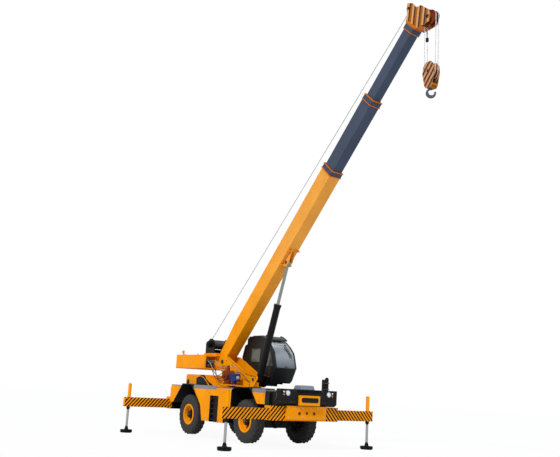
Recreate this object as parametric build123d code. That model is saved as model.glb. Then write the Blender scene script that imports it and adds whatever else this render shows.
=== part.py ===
from build123d import *
from math import atan2, cos, degrees, hypot, radians, sin, tan
import os

# Mobile crane: a two-axle rough-terrain crane standing on its four outriggers with its boom raised.
# Millimetres. +X is forward, +Y is the machine's left, +Z is up, and z = 0 is the ground under the
# floats. Sizes are set out from a point midway between the axles, and every piece is moved back by
# ORIGIN_SHIFT on saving so that the stored origin is the bottom centre of the whole machine.

FIT = 0.05           # radial clearance of a pin in its bore
SLIP = 0.5           # gap at a wear pad
SIDES = (("right", -1), ("left", 1))
ENDS = (("front", 1), ("rear", -1))

# Wheels
AXLE_X = 1805.0      # each axle from the middle of the wheelbase
WHEEL_Z = 761.0
WHEEL_Y = 1038.0
TYRE_R = 685.0
TYRE_HALF_WIDTH = 187.0
RIM_R = 318.0
RIM_FLANGE_R = 356.0
HUB_R = 128.0
KINGPIN_Y = 770.0
KINGPIN_R = 30.0
KNUCKLE_R = 95.0
KNUCKLE_HALF_HEIGHT = 130.0
YOKE_THICKNESS = 50.0

# Carrier frame
RAIL_Y = (360.0, 480.0)
RAIL_Z = (1080.0, 1730.0)
DECK_Z = (1730.0, 1760.0)
BODY_Y = 1220.0      # outer face of the side panels
DECK_Y = 1195.0      # the deck plates end here, inside the edge band
EDGE_Z = (1670.0, 1800.0)       # band along the deck's outer edge
FENDER_TOP = 1810.0
FENDER_BOTTOM = 1130.0

# Outriggers
BEAM_WIDTH = 120.0
BEAM_Z = (905.0, 1232.0)
BEAM_GAP = 6.0       # between a beam and its box
BOX_WALL = 20.0
BOX_PROUD = {"front": 110.0, "rear": -20.0}       # how far a box's ends stand out past the side panels
BOX_TOP = 1310.0
JACK_Y = 2834.0
BEAM_END_Y = 3018.0
BEAM_INNER_Y = 300.0
BEAM_X = {("front", "right"): 3270.0, ("front", "left"): 3120.0,
          ("rear", "right"): -3310.0, ("rear", "left"): -3460.0}
POST_R = 60.0
POST_TOP = 1692.0
JACK_ROD_R = 42.0
JACK_ROD_TOP = 1110.0
FLOAT_R = 212.0
BUMPER_X = 3440.0
BUMPER_TOP = 1330.0
BUMPER_BOTTOM = 920.0
BUMPER_HALF_WIDTH = 770.0

# Slewing
SLEW_X = -50.0
RING_R = (430.0, 560.0)
RING_Z = (1730.0, 1810.0)
DECK_HOLE_R = 600.0

# Superstructure
PLATE_Y = (220.0, 250.0)        # the turntable's two side plates
PIVOT = (-1280.0, 2660.0)       # boom foot pin, x and z
PIVOT_PIN_R = 50.0
LIFT_BASE = (750.0, 2080.0)     # lift cylinder's lower pin, x and z
LIFT_PIN_R = 40.0
TAIL_X = (-3830.0, -1700.0)
TAIL_HALF_WIDTH = 750.0
TAIL_Z = (2370.0, 2880.0)
DRUM_AXIS = (-2020.0, 3285.0)
DRUM_R = 150.0
DRUM_FLANGE_R = 205.0
DRUM_HALF_LENGTH = 322.0
WINCH_PLATE_Y = (330.0, 355.0)
WINCH_BASE_Z = (2880.0, 2955.0)

# Cab
CAB_WALL = 35.0
CAB_X = (-550.0, 1265.0)
CAB_Y = (300.0, 1185.0)
CAB_Z = (2000.0, 3590.0)
CAB_BASE_Z = 1885.0  # underside of the pedestal below the cab
DOOR_X = (-80.0, 800.0)
DOOR_Z = (2060.0, 3330.0)
DOOR_GAP = 6.0
DOOR_WALL = 28.0

# Boom, measured along it (s) and square to it (n) from the foot pin
ELEVATION = 46.43
BOOM_AXIS_N = 247.0
SECTIONS = {            # start, end, width, height, wall
    "boom_base": (-250.0, 8130.0, 426.0, 552.0, 12.0),
    "boom_section_2": (3700.0, 10720.0, 370.0, 483.0, 10.0),
    "boom_section_3": (6300.0, 13330.0, 296.0, 384.0, 9.0),
}
COLLAR_LENGTH = 190.0
WEB_PROUD = 8.0
RIM_PROUD = 24.0
RIM_LENGTH = 24.0
FOOT_TAPER = (1700.0, 135.0)    # length and depth of the base's tapered foot
LIFT_LUG = (4720.0, -130.0)     # lift cylinder's upper pin, s and n
LIFT_LUG_Y = (62.0, 92.0)

# Lift cylinder
BARREL_R = 116.0
BARREL_BORE = 90.0
BARREL_LENGTH = 2660.0
ROD_R = 55.0
ROD_LENGTH = 2570.0
EYE_R = 95.0
EYE_HALF_WIDTH = 56.0

# Boom head and hook block, in the same s and n
HEAD_START = 13330.0
HEAD_PLATE_Y = (165.0, 190.0)   # the head's two side plates
HEAD_PLATE = ((13330.0, -40.0), (13330.0, 470.0), (13540.0, 600.0), (13655.0, 740.0), (13800.0, 830.0), (13885.0, 640.0),
              (13850.0, 380.0), (13975.0, 250.0), (14000.0, -110.0), (13930.0, -300.0), (13740.0, -400.0), (13590.0, -290.0))
FRONT_SHEAVES = (13829.0, -246.0)
REAR_SHEAVE = (13705.0, 665.0)
SHEAVE_R = 225.0
SHEAVE_HALF_WIDTH = 24.0
SHEAVE_Y = (-57.0, 57.0)
LINE_SHEAVE_R = 130.0
GROOVE = 20.0        # depth of a sheave's rope groove
BLOCK_Z = (10350.0, 11130.0)
BLOCK_PLATE_Y = (98.0, 120.0)
HOOK_BOTTOM = 10060.0
HOOK_TURN = 54.0     # how far the hook has swivelled
HOOK_R = 145.0
BOWL_R = 84.0
HOOK_HALF_WIDTH = 38.0
SHANK_R = 38.0
CROSSHEAD = 90.0


def span(limits):
    return limits[1] - limits[0]


def middle(limits):
    return (limits[0] + limits[1]) / 2


def box(x, y, z):
    """A block between its low and high limits on each axis."""
    return Pos(middle(x), middle(y), middle(z)) * Box(span(x), span(y), span(z))


def side_plate(points, y):
    """An outline in X and Z, given its thickness between two values of y."""
    plane = Plane(origin=(0, y[1], 0), x_dir=(1, 0, 0), z_dir=(0, -1, 0))
    return extrude(plane * make_face(Polyline(*points, close=True)), span(y))


def front_plate(points, x):
    """An outline in Y and Z, given its thickness between two values of x."""
    plane = Plane(origin=(x[0], 0, 0), x_dir=(0, 1, 0), z_dir=(1, 0, 0))
    return extrude(plane * make_face(Polyline(*points, close=True)), span(x))


def bar(start, end, radius):
    """A round bar from one point to another."""
    run = Vector(*end) - Vector(*start)
    return Plane(origin=start, z_dir=run) * Cylinder(radius, run.length, align=(Align.CENTER, Align.CENTER, Align.MIN))


def cross_bar(x, z, y, radius):
    """A round bar lying along Y."""
    return bar((x, y[0], z), (x, y[1], z), radius)


def mirrored(shape):
    return mirror(shape, about=Plane.XZ)


def pair(shape):
    """A piece and its mirror image on the machine's other side."""
    return [shape, mirrored(shape)]


def slope_x(low, high, z):
    """Where the straight edge between two (x, z) points crosses a height."""
    return low[0] + (high[0] - low[0]) * (z - low[1]) / (high[1] - low[1])


def save(name, *shapes):
    """Write one node, moved to the stored origin."""
    solids = [solid for shape in shapes for solid in shape.solids()]
    node = solids[0] if len(solids) == 1 else Compound(solids)
    reach = boom_point(*FRONT_SHEAVES)[0] + SHEAVE_R
    middle_x = (TAIL_X[0] + reach) / 2
    export_step(Pos(-middle_x, 0, 0) * node, f"parts/{name}.step")


# ---------------------------------------------------------------- carrier

FENDERS = {             # outline in x and z, from the rear foot over the top to the front foot
    "front": ((960.0, FENDER_BOTTOM), (985.0, 1700.0), (1200.0, FENDER_TOP), (2040.0, FENDER_TOP), (2610.0, FENDER_BOTTOM)),
    "rear": ((-2940.0, FENDER_BOTTOM), (-2320.0, FENDER_TOP), (-1685.0, FENDER_TOP), (-1010.0, FENDER_BOTTOM)),
}
FENDER_SHEET = 25.0


def box_limits(end):
    """The X limits of one end's outrigger box, which holds two beams side by side."""
    places = [BEAM_X[end, side] for side, sign in SIDES]
    reach = BEAM_WIDTH / 2 + BEAM_GAP + BOX_WALL
    return min(places) - reach, max(places) + reach


def box_heights():
    return BEAM_Z[0] - BEAM_GAP - BOX_WALL, BOX_TOP


CROSS_MEMBERS = (-3500.0, -1000.0, 900.0, 2850.0)      # plates between the rails
SEAT_HALF_LENGTH = 640.0


def chassis_frame():
    front, rear = box_limits("front"), box_limits("rear")
    low, high = RAIL_Z
    box_top = box_heights()[1]
    outline = ((rear[0], box_top), (rear[1], box_top), (rear[1], low), (front[0], low),
               (front[0], box_top), (front[1], box_top), (front[1], high), (rear[0], high))
    rail = side_plate(outline, RAIL_Y)
    frame = rail + mirrored(rail)
    inside = (-RAIL_Y[0], RAIL_Y[0])
    for x in CROSS_MEMBERS:
        frame += box((x, x + 40), inside, (box_top + 10, high))
    for x in (-2800.0, -2150.0):
        frame += box((x, x + 80), inside, (low + 20, low + 120))
    seat = box((SLEW_X - SEAT_HALF_LENGTH, SLEW_X + SEAT_HALF_LENGTH), (-RAIL_Y[1], RAIL_Y[1]), (high - 40, high))
    frame += seat - Pos(SLEW_X, 0, high) * Cylinder(RING_R[0] - 60, 200)
    frame += box((front[1], LAMP_FACE_X), (-RAIL_Y[1], RAIL_Y[1]), (BUMPER_TOP + 20, high))
    return frame


def slew_ring():
    ring = Cylinder(RING_R[1], span(RING_Z)) - Cylinder(RING_R[0], span(RING_Z))
    return Pos(SLEW_X, 0, middle(RING_Z)) * ring


def outrigger_box(end):
    x = box_limits(end)
    z = box_heights()
    reach = BODY_Y + BOX_PROUD[end]
    shell = box(x, (-reach, reach), z)
    half = BEAM_WIDTH / 2 + BEAM_GAP
    pads = []
    for side, sign in SIDES:
        centre = BEAM_X[end, side]
        shell -= box((centre - half, centre + half), (-reach, reach),
                     (BEAM_Z[0] - BEAM_GAP, BEAM_Z[1] + BEAM_GAP))
        mouth = sorted((sign * (reach - 100), sign * reach))
        pads.append(box((centre - 45, centre + 45), mouth, (BEAM_Z[0] - BEAM_GAP, BEAM_Z[0] - SLIP)))
        pads.append(box((centre - 45, centre + 45), mouth, (BEAM_Z[1] + SLIP, BEAM_Z[1] + BEAM_GAP)))
    for pad in pads:
        shell += pad
    if end == "front":
        shell += box((x[1], BUMPER_X), (-BUMPER_HALF_WIDTH, BUMPER_HALF_WIDTH), (BUMPER_BOTTOM, BUMPER_TOP))
    return shell


def outrigger_beam(end, side, sign):
    """A square beam with the jack's post standing through its outer end."""
    x = BEAM_X[end, side]
    beam = box((x - BEAM_WIDTH / 2, x + BEAM_WIDTH / 2), (BEAM_INNER_Y, BEAM_END_Y), BEAM_Z)
    beam += bar((x, JACK_Y, BEAM_Z[0] - 35), (x, JACK_Y, POST_TOP), POST_R)
    beam -= bar((x, JACK_Y, BEAM_Z[0] - 40), (x, JACK_Y, POST_TOP - 20), JACK_ROD_R + FIT)
    return beam if sign > 0 else mirrored(beam)


def jack(end, side, sign):
    """The jack's rod and the dished float that stands on the ground."""
    x, y = BEAM_X[end, side], sign * JACK_Y
    rod = bar((x, y, 60), (x, y, JACK_ROD_TOP), JACK_ROD_R)
    dish = ((0, 0), (FLOAT_R - 25, 0), (FLOAT_R, 30), (FLOAT_R, 105), (FLOAT_R - 15, 105),
            (FLOAT_R - 28, 45), (80, 110), (62, 150), (0, 150))
    foot = revolve(Plane.XZ * make_face(Polyline(*dish, close=True)), Axis.Z)
    return rod + Pos(x, y, 0) * foot + Pos(x, y, 165) * Sphere(62)


def fender(end):
    outline = FENDERS[end]
    x0, x3 = outline[0][0], outline[-1][0]
    inner = []
    for x, z in outline:
        rise = (z - FENDER_BOTTOM) / (FENDER_TOP - FENDER_BOTTOM)
        inwards = 1 if x < (x0 + x3) / 2 else -1
        inner.append((x + inwards * (36 - 22 * rise), z - 1 - (FENDER_SHEET - 1) * rise))
    y = (RAIL_Y[1], BODY_Y + 12)
    arch = side_plate(outline, y) - side_plate(inner, y)
    if end == "rear":
        arch -= box((x0, x3), (RAIL_Y[1], HOOD_HALF_WIDTH + 2), (DECK_Z[0], FENDER_TOP + 1))
    return arch


LADDER_X = (-375.0, 165.0)
LADDER_Z = (600.0, 1470.0)
LADDER_DEPTH = 90.0
RUNGS = 5


PANEL_BOTTOM = 610.0
EDGE_END = 10.0      # the edge band between the wheels runs forward to here


def side_panel():
    """The long panel between the wheels, with the ladder's recess."""
    top, bottom = DECK_Z[0], PANEL_BOTTOM
    foot, knee, shoulder = FENDERS["front"][:3]
    outline = ((slope_x(FENDERS["rear"][3], FENDERS["rear"][2], top), top), (slope_x(knee, shoulder, top), top), knee, foot,
               (560.0, 950.0), (520.0, bottom), (FENDERS["rear"][3][0] + 155, bottom), (FENDERS["rear"][3][0], FENDER_BOTTOM))
    panel = side_plate(outline, (RAIL_Y[1], BODY_Y))
    panel -= box((-3000, EDGE_END), (DECK_Y, BODY_Y), (EDGE_Z[0], top))
    return panel - box(LADDER_X, (BODY_Y - LADDER_DEPTH, BODY_Y), (bottom, LADDER_Z[1]))


def corner_panels():
    """The short panels behind the rear fender and ahead of the front one."""
    top, y = DECK_Z[0], (RAIL_Y[1], BODY_Y)
    rear_low, rear_high = FENDERS["rear"][0], FENDERS["rear"][1]
    behind = box_limits("rear")[1]
    rear = ((behind, FENDER_BOTTOM), (rear_low[0], FENDER_BOTTOM), (slope_x(rear_low, rear_high, top), top), (behind, top))
    front_low, front_high = FENDERS["front"][-1], FENDERS["front"][-2]
    low = BUMPER_TOP
    front = ((slope_x(front_low, front_high, low), low), (LAMP_BACK_X, low), (LAMP_BACK_X, top), (slope_x(front_low, front_high, top), top))
    notch = box((-4000, 4000), (DECK_Y, BODY_Y), (EDGE_Z[0], top))
    return [side_plate(rear, y) - notch, side_plate(front, y) - notch]


def ladder():
    stile = 45.0
    y = (BODY_Y - LADDER_DEPTH, BODY_Y - 20)
    frame = box((LADDER_X[0], LADDER_X[0] + stile), y, LADDER_Z)
    frame += box((LADDER_X[1] - stile, LADDER_X[1]), y, LADDER_Z)
    pitch = span(LADDER_Z) / RUNGS
    for rung in range(RUNGS):
        z = LADDER_Z[0] + pitch * (rung + 0.5)
        frame += box(LADDER_X, y, (z - 15, z + 15))
    frame += box(LADDER_X, (BODY_Y - LADDER_DEPTH, BODY_Y - LADDER_DEPTH + 10), LADDER_Z)
    return frame


EDGE_LAP = 70.0      # how far the edge band stops short of a fender's slope


def deck_plates():
    inner = RAIL_Y[1] - 5
    front_top = slope_x(FENDERS["front"][-1], FENDERS["front"][-2], DECK_Z[0])
    front_back = slope_x(FENDERS["front"][1], FENDERS["front"][2], DECK_Z[0])
    rear_front = slope_x(FENDERS["rear"][3], FENDERS["rear"][2], DECK_Z[0])
    rear_top = slope_x(FENDERS["rear"][0], FENDERS["rear"][1], DECK_Z[0])
    behind = box_limits("rear")[1]
    deck = box((HOOD_FRONT, LAMP_FACE_X), (-inner, inner), DECK_Z)
    for sign in (-1, 1):
        side = sorted((sign * (HOOD_HALF_WIDTH + 6), sign * DECK_Y))
        deck += box((rear_front, front_back), side, DECK_Z)
        deck += box((front_top, LAMP_BACK_X - 5), sorted((sign * inner, sign * DECK_Y)), DECK_Z)
        deck += box((behind, rear_top), side, DECK_Z)
        deck += box((HOOD_FRONT, front_back), sorted((sign * inner, sign * (HOOD_HALF_WIDTH + 10))), DECK_Z)
        edge = sorted((sign * DECK_Y, sign * BODY_Y))
        deck += box((rear_front + EDGE_LAP, EDGE_END), edge, EDGE_Z)
        deck += box((front_top + EDGE_LAP, LAMP_BACK_X), edge, EDGE_Z)
    deck += box((LAMP_FACE_X - 320, LAMP_FACE_X), (-LAMP_GAP_Y, LAMP_GAP_Y), (DECK_Z[1], LAMP_TOP))
    return deck - Pos(SLEW_X, 0, DECK_Z[0]) * Cylinder(DECK_HOLE_R, 200)


HOOD_HALF_WIDTH = 650.0
HOOD_FRONT = -620.0
HOOD_SHEET = 20.0
HOOD = ((-3130.0, DECK_Z[0]), (-3130.0, 2090.0), (-3080.0, 2165.0), (-1730.0, 2165.0), (-1660.0, 2060.0), (-1610.0, 1990.0),
        (-1200.0, 1860.0), (HOOD_FRONT, 1760.0), (HOOD_FRONT, DECK_Z[0]))
HOOD_WINDOWS = (
    ((-2380.0, 1780.0), (-2380.0, 2000.0), (-2200.0, 2090.0), (-1950.0, 2090.0), (-1700.0, 1970.0), (-1480.0, 1780.0)),
    ((-3080.0, 1780.0), (-3080.0, 1930.0), (-2980.0, 2000.0), (-2880.0, 1930.0), (-2880.0, 1780.0)),
)


def engine_hood():
    y = (-HOOD_HALF_WIDTH, HOOD_HALF_WIDTH)
    inside = ((-3110.0, DECK_Z[0] - 1), (-3110.0, 2085.0), (-3072.0, 2145.0), (-1740.0, 2145.0), (-1678.0, 2050.0), (-1624.0, 1974.0),
              (-1206.0, 1840.0), (-900.0, 1775.0), (-900.0, DECK_Z[0] - 1))
    hood = side_plate(HOOD, y)
    hood -= side_plate(inside, (y[0] + HOOD_SHEET, y[1] - HOOD_SHEET))
    for window in HOOD_WINDOWS:
        hood -= side_plate(window, y)
    return hood


def hood_grilles():
    """Slatted panels that close the hood's side windows."""
    panels = []
    y = (HOOD_HALF_WIDTH - HOOD_SHEET, HOOD_HALF_WIDTH - 8)
    for window in HOOD_WINDOWS:
        panels += pair(side_plate(window, y))
    return panels


def engine_block():
    return box((-2900, -1950), (-320, 320), (RAIL_Z[0] + 120, 2040))


LAMP_Y = 810.0
LAMP_Z = 1730.0
LAMP_R = 78.0
LAMP_BACK_X = 2870.0
LAMP_FACE_X = 3490.0
LAMP_TOP = 1835.0
LAMP_DEPTH = 110.0    # of the raised part that holds the lamps
STEP_TOP = 1700.0
LAMP_GAP_Y = 475.0   # half the gap between the two housings


def lamp_housing():
    front, back = LAMP_FACE_X, LAMP_BACK_X
    outline = ((back, BUMPER_TOP), (back, STEP_TOP), (front - LAMP_DEPTH - 70, STEP_TOP), (front - LAMP_DEPTH, LAMP_TOP),
               (front, LAMP_TOP), (front, BUMPER_TOP + 70), (front - 120, BUMPER_TOP))
    body = side_plate(outline, (RAIL_Y[1], 1150))
    body += box((back, back + 230), (1150, DECK_Y), (BUMPER_TOP, DECK_Z[0]))
    body += box((back, back + 230), (DECK_Y, BODY_Y), (BUMPER_TOP, EDGE_Z[0]))
    return body - bar((LAMP_FACE_X - 30, LAMP_Y, LAMP_Z - 20), (LAMP_FACE_X + 5, LAMP_Y, LAMP_Z - 20), LAMP_R)


def headlamp():
    z = LAMP_Z - 20
    body = bar((LAMP_FACE_X - 30, LAMP_Y, z), (LAMP_FACE_X + 12, LAMP_Y, z), LAMP_R - 1)
    return body


def front_plate_frame():
    x = (LAMP_FACE_X, LAMP_FACE_X + 90)
    y, z = (-395, 395), (1350, 1655)
    inset = ((y[0] + 60, z[0] + 130), (y[0] + 100, z[0] + 90), (y[1] - 100, z[0] + 90), (y[1] - 60, z[0] + 130),
             (y[1] - 60, z[1] - 105), (y[1] - 100, z[1] - 65), (y[0] + 100, z[1] - 65), (y[0] + 60, z[1] - 105))
    return box(x, y, z) - front_plate(inset, (x[1] - 30, x[1] + 1))


def intake_stack():
    x, y = 3180.0, 900.0
    case = box((x - 75, x + 75), (y - 75, y + 75), (STEP_TOP, LAMP_TOP + 345))
    case += bar((x + 60, y + 20, STEP_TOP), (x + 60, y + 20, LAMP_TOP + 355), 62)
    return case + Pos(x + 60, y + 20, LAMP_TOP + 355) * Sphere(62)


def axle(sign):
    """An axle housing with its differential, spring seats and the yokes that hold the knuckles."""
    x = sign * AXLE_X
    reach = KNUCKLE_HALF_HEIGHT + SLIP
    housing = box((x - 85, x + 85), (-670, 670), (WHEEL_Z - 95, WHEEL_Z + 95))
    low, high = WHEEL_Z - 195, WHEEL_Z + 95
    bowl = ((-640, high), (-640, WHEEL_Z - 80), (-430, low), (430, low), (640, WHEEL_Z - 80), (640, high))
    housing += front_plate(bowl, (x - 70, x + 70))
    housing += Pos(x, 0, WHEEL_Z) * Sphere(215)
    for side in (-1, 1):
        seat = sorted((side * RAIL_Y[0], side * RAIL_Y[1]))
        housing += box((x - 110, x + 110), seat, (WHEEL_Z, RAIL_Z[0]))
        for z in ((WHEEL_Z - reach - YOKE_THICKNESS, WHEEL_Z - reach), (WHEEL_Z + reach, WHEEL_Z + reach + YOKE_THICKNESS)):
            housing += box((x - 85, x + 85), sorted((side * 600, side * (KINGPIN_Y + 70))), z)
        back = sorted((side * 600, side * 655))
        housing += box((x - 85, x + 85), back, (WHEEL_Z - reach - YOKE_THICKNESS, WHEEL_Z + reach + YOKE_THICKNESS))
        housing -= bar((x, side * KINGPIN_Y, WHEEL_Z - 300), (x, side * KINGPIN_Y, WHEEL_Z + 300), KINGPIN_R + FIT)
    return housing


def knuckle(end_sign, sign):
    """The steered block on its kingpin, with the spindle that carries the wheel."""
    x, y = end_sign * AXLE_X, sign * KINGPIN_Y
    body = bar((x, y, WHEEL_Z - KNUCKLE_HALF_HEIGHT), (x, y, WHEEL_Z + KNUCKLE_HALF_HEIGHT), KNUCKLE_R)
    pin_reach = KNUCKLE_HALF_HEIGHT + YOKE_THICKNESS - 5
    body += bar((x, y, WHEEL_Z - pin_reach), (x, y, WHEEL_Z + pin_reach), KINGPIN_R)
    body += bar((x, y, WHEEL_Z), (x, sign * (WHEEL_Y + 60), WHEEL_Z), 60)
    return body


def wheel():
    """Rim and hub about the Y axis, +Y outward: a barrel between two flanges, a dished disc and a hub."""
    half = 168.0
    rim = ((RIM_R - 22, -half), (RIM_FLANGE_R, -half), (RIM_FLANGE_R, -half + 18), (RIM_R, -half + 18), (RIM_R, half - 18),
           (RIM_FLANGE_R, half - 18), (RIM_FLANGE_R, half), (RIM_R - 22, half), (RIM_R - 40, 30), (210, -10), (HUB_R + 30, -10),
           (HUB_R + 30, -34), (210, -34), (RIM_R - 40, 0))
    hub = ((60 + FIT, -90), (HUB_R + 30, -90), (HUB_R + 30, 40), (HUB_R, 60), (HUB_R, 130), (90, 165), (0, 165),
           (0, 62), (60 + FIT, 62))
    shape = revolve(Plane.XY * make_face(Polyline(*rim, close=True)), Axis.Y)
    return shape + revolve(Plane.XY * make_face(Polyline(*hub, close=True)), Axis.Y)


def tyre():
    """A wide earthmover tyre: beads between the rim's flanges, bulged walls and a flat tread."""
    bead, wall = 149.0, TYRE_HALF_WIDTH
    shoulder_r = TYRE_R - 45
    edge = wall - 22
    outline = Polyline((RIM_R, -bead), (RIM_FLANGE_R, -bead), (RIM_FLANGE_R + 40, -wall + 12))
    left = ThreePointArc((RIM_FLANGE_R + 40, -wall + 12), (RIM_FLANGE_R + 130, -wall), (shoulder_r, -edge))
    tread = Polyline((shoulder_r, -edge), (TYRE_R, -edge + 25), (TYRE_R, edge - 25), (shoulder_r, edge))
    right = ThreePointArc((shoulder_r, edge), (RIM_FLANGE_R + 130, wall), (RIM_FLANGE_R + 40, wall - 12))
    close = Polyline((RIM_FLANGE_R + 40, wall - 12), (RIM_FLANGE_R, bead), (RIM_R, bead), (RIM_R, -bead))
    face = make_face(outline.edges() + left.edges() + tread.edges() + right.edges() + close.edges())
    return revolve(face, Axis.Y)


def at_wheel(end_sign, sign, shape):
    turn = 0 if sign > 0 else 180
    return Pos(end_sign * AXLE_X, sign * WHEEL_Y, WHEEL_Z) * Rot(0, 0, turn) * shape


# ---------------------------------------------------------------- superstructure

BASE_Z = (RING_Z[1] + SLIP, RING_Z[1] + 40)
WINCH_BASE_X = (-2360.0, -1470.0)


def turntable_frame():
    """Two side plates on a round base, with the boom foot pin, the lift pin and the cab's arms."""
    outline = ((TAIL_X[1], TAIL_Z[0]), (TAIL_X[1], 2840), (-915, 2840), (290, 2290), (930, 2205), (990, 2150), (975, 2080),
               (815, BASE_Z[1]), (-900, BASE_Z[1]), (-1200, 2200), (-1400, TAIL_Z[0]))
    plate = side_plate(outline, PLATE_Y)
    frame = plate + mirrored(plate)
    base = Pos(SLEW_X, 0, middle(BASE_Z)) * (Cylinder(RING_R[1] - 10, span(BASE_Z)) - Cylinder(RING_R[0] - 30, span(BASE_Z)))
    frame += base
    frame += box((-900, -560), (-PLATE_Y[1], PLATE_Y[1]), (BASE_Z[0] + 15, BASE_Z[1]))
    frame += box((380, 740), (-PLATE_Y[1], PLATE_Y[1]), (BASE_Z[0] + 15, BASE_Z[1]))
    frame += box((GEARBOX[0] - 240, GEARBOX[0] + 550), (GEARBOX[1] - 160, -PLATE_Y[0]), (BASE_Z[1] - 20, BASE_Z[1] + 20))
    for x in ((-380, -260), (560, 680)):
        frame += box(x, (PLATE_Y[0], 1050), (1960, CAB_Z[0]))
    frame += box((380, 850), (PLATE_Y[0], 700), (CAB_BASE_Z, CAB_Z[0]))
    low, high = WINCH_BASE_Z
    back, front = WINCH_BASE_X
    cheek = ((back, low), (back, high), (front, high), (front, 2840), (TAIL_X[1], 2840), (TAIL_X[1], low))
    for base_beam in pair(side_plate(cheek, (PLATE_Y[0], 420))):
        frame += base_beam
    frame += cross_bar(PIVOT[0], PIVOT[1], (-262, 262), PIVOT_PIN_R)
    for y in ((-262, -PLATE_Y[1]), (PLATE_Y[1], 262)):
        frame += cross_bar(LIFT_BASE[0], LIFT_BASE[1], y, LIFT_PIN_R)
    return frame


NOTCH_LENGTH = 225.0


def counterweight():
    """The tail block, notched for the boom foot's swing and pocketed for the valves."""
    tail = box(TAIL_X, (-TAIL_HALF_WIDTH, TAIL_HALF_WIDTH), TAIL_Z)
    tail -= box((TAIL_X[1] - NOTCH_LENGTH, TAIL_X[1]), (-PLATE_Y[0] - 5, PLATE_Y[0] + 5), TAIL_Z)
    return tail - box(VALVE_X, VALVE_Y, VALVE_Z)


VALVE_X = (-1950.0, -1700.0)
VALVE_Y = (-690.0, -290.0)
VALVE_Z = (2420.0, 2820.0)


def valve_block():
    body = box((VALVE_X[0], VALVE_X[1] - 90), (VALVE_Y[0] + 40, VALVE_Y[1] - 60), (VALVE_Z[0], VALVE_Z[1] - 110))
    for step in range(4):
        y = VALVE_Y[0] + 90 + 60 * step
        body += bar((VALVE_X[1] - 95, y, 2600), (VALVE_X[1] + 10, y, 2600), 18)
    return body


def beacon():
    x, y, top = -3600.0, -600.0, TAIL_Z[1]
    return bar((x, y, top), (x, y, top + 70), 22) + bar((x, y, top + 70), (x, y, top + 165), 45)


def winch_frame():
    """Two plates that carry the drum, joined below it, with the motor outside the right one."""
    base = WINCH_BASE_Z[1]
    back, front = WINCH_BASE_X[0], -1735.0
    outline = ((back, base), (back, 3270), (-2240, 3370), (-2100, 3490), (-1930, 3490), (front - 20, 3360), (front, 3200),
               (front, base))
    plate = side_plate(outline, WINCH_PLATE_Y)
    plates = plate + mirrored(plate)
    plates += box((back, -1800), (-WINCH_PLATE_Y[0], WINCH_PLATE_Y[0]), (base, base + 25))
    plates += box((back, back + 20), (-WINCH_PLATE_Y[0], WINCH_PLATE_Y[0]), (base, 3120))
    plates += box((-1820, -1800), (-WINCH_PLATE_Y[0], WINCH_PLATE_Y[0]), (base, 3000))
    plates -= cross_bar(*DRUM_AXIS, (-500, 500), 35 + FIT)
    motor = cross_bar(*DRUM_AXIS, (-470, -WINCH_PLATE_Y[1]), 120)
    motor -= cross_bar(*DRUM_AXIS, (-WINCH_PLATE_Y[1] - 10, -300), 40)
    return plates + motor


def winch_drum():
    drum = cross_bar(*DRUM_AXIS, (-DRUM_HALF_LENGTH, DRUM_HALF_LENGTH), DRUM_R)
    for y in ((-DRUM_HALF_LENGTH, -DRUM_HALF_LENGTH + 15), (DRUM_HALF_LENGTH - 15, DRUM_HALF_LENGTH)):
        drum += cross_bar(*DRUM_AXIS, y, DRUM_FLANGE_R)
    return drum + cross_bar(*DRUM_AXIS, (-WINCH_PLATE_Y[1], WINCH_PLATE_Y[1]), 35)


GEARBOX = (-420.0, -530.0)      # slew gearbox axis, x and y


def slew_gearbox():
    x, y = GEARBOX
    foot = BASE_Z[1] + 20
    body = bar((x, y, foot), (x, y, foot + 30), 165)
    body += bar((x, y, foot + 30), (x, y, foot + 310), 125)
    body += bar((x, y - 150, foot + 310), (x, y + 190, foot + 310), 165)
    body += bar((x, y - 175, foot + 310), (x, y - 150, foot + 310), 90)
    return body + bar((x, y, foot + 310), (x, y, foot + 640), 65)


def slew_brake():
    """The brake and motor beside the gearbox."""
    x, y = GEARBOX
    foot = BASE_Z[1] + 20
    body = bar((x + 167, y, foot + 240), (x + 300, y, foot + 240), 60)
    body += box((x + 290, x + 640), (y - 95, y + 95), (foot + 115, foot + 365))
    return body + box((x + 400, x + 500), (y - 60, y + 60), (foot, foot + 120))


# ---------------------------------------------------------------- cab

def cab_side(inset):
    """The cab's outline from the side, drawn in by a wall's thickness."""
    d = inset
    (back, nose), (low, high) = CAB_X, CAB_Z
    return ((back + d, low + d), (nose - 275 - d, low + d), (nose - d, low + 530), (nose - 165 - d, low + 1050),
            (nose - 480 - d, high - 185), (nose - 660 - d, high - 65 - d / 2), (nose - 1000 - d / 2, high - d),
            (back + 120, high - d), (back + d, high - 90 - d / 2))


def cab_front(inset):
    """The cab's outline from the front: upright, with its outer roof edge rolled in."""
    d = inset
    (right, left), (low, high) = CAB_Y, CAB_Z
    return ((right + d, low + d), (left - 60 - d / 2, low + d), (left - d, low + 90 + d / 2), (left - d, high - 640),
            (left - 40 - d, high - 350), (left - 125 - d, high - 170), (left - 255 - d / 2, high - 45 - d),
            (left - 385, high - d), (right + d, high - d))


def cab_body(inset):
    wide = (CAB_Y[0] - 200, CAB_Y[1] + 200)
    long = (CAB_X[0] - 200, CAB_X[1] + 200)
    return side_plate(cab_side(inset), wide) & front_plate(cab_front(inset), long)


SCREEN_Z = (2500.0, 3400.0)     # windscreen
CORNER_Z = (2560.0, 3160.0)     # the right wall's forward window
SIDE_Z = (2690.0, 3160.0)       # its rear window
REAR_Z = (2800.0, 3350.0)


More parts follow.
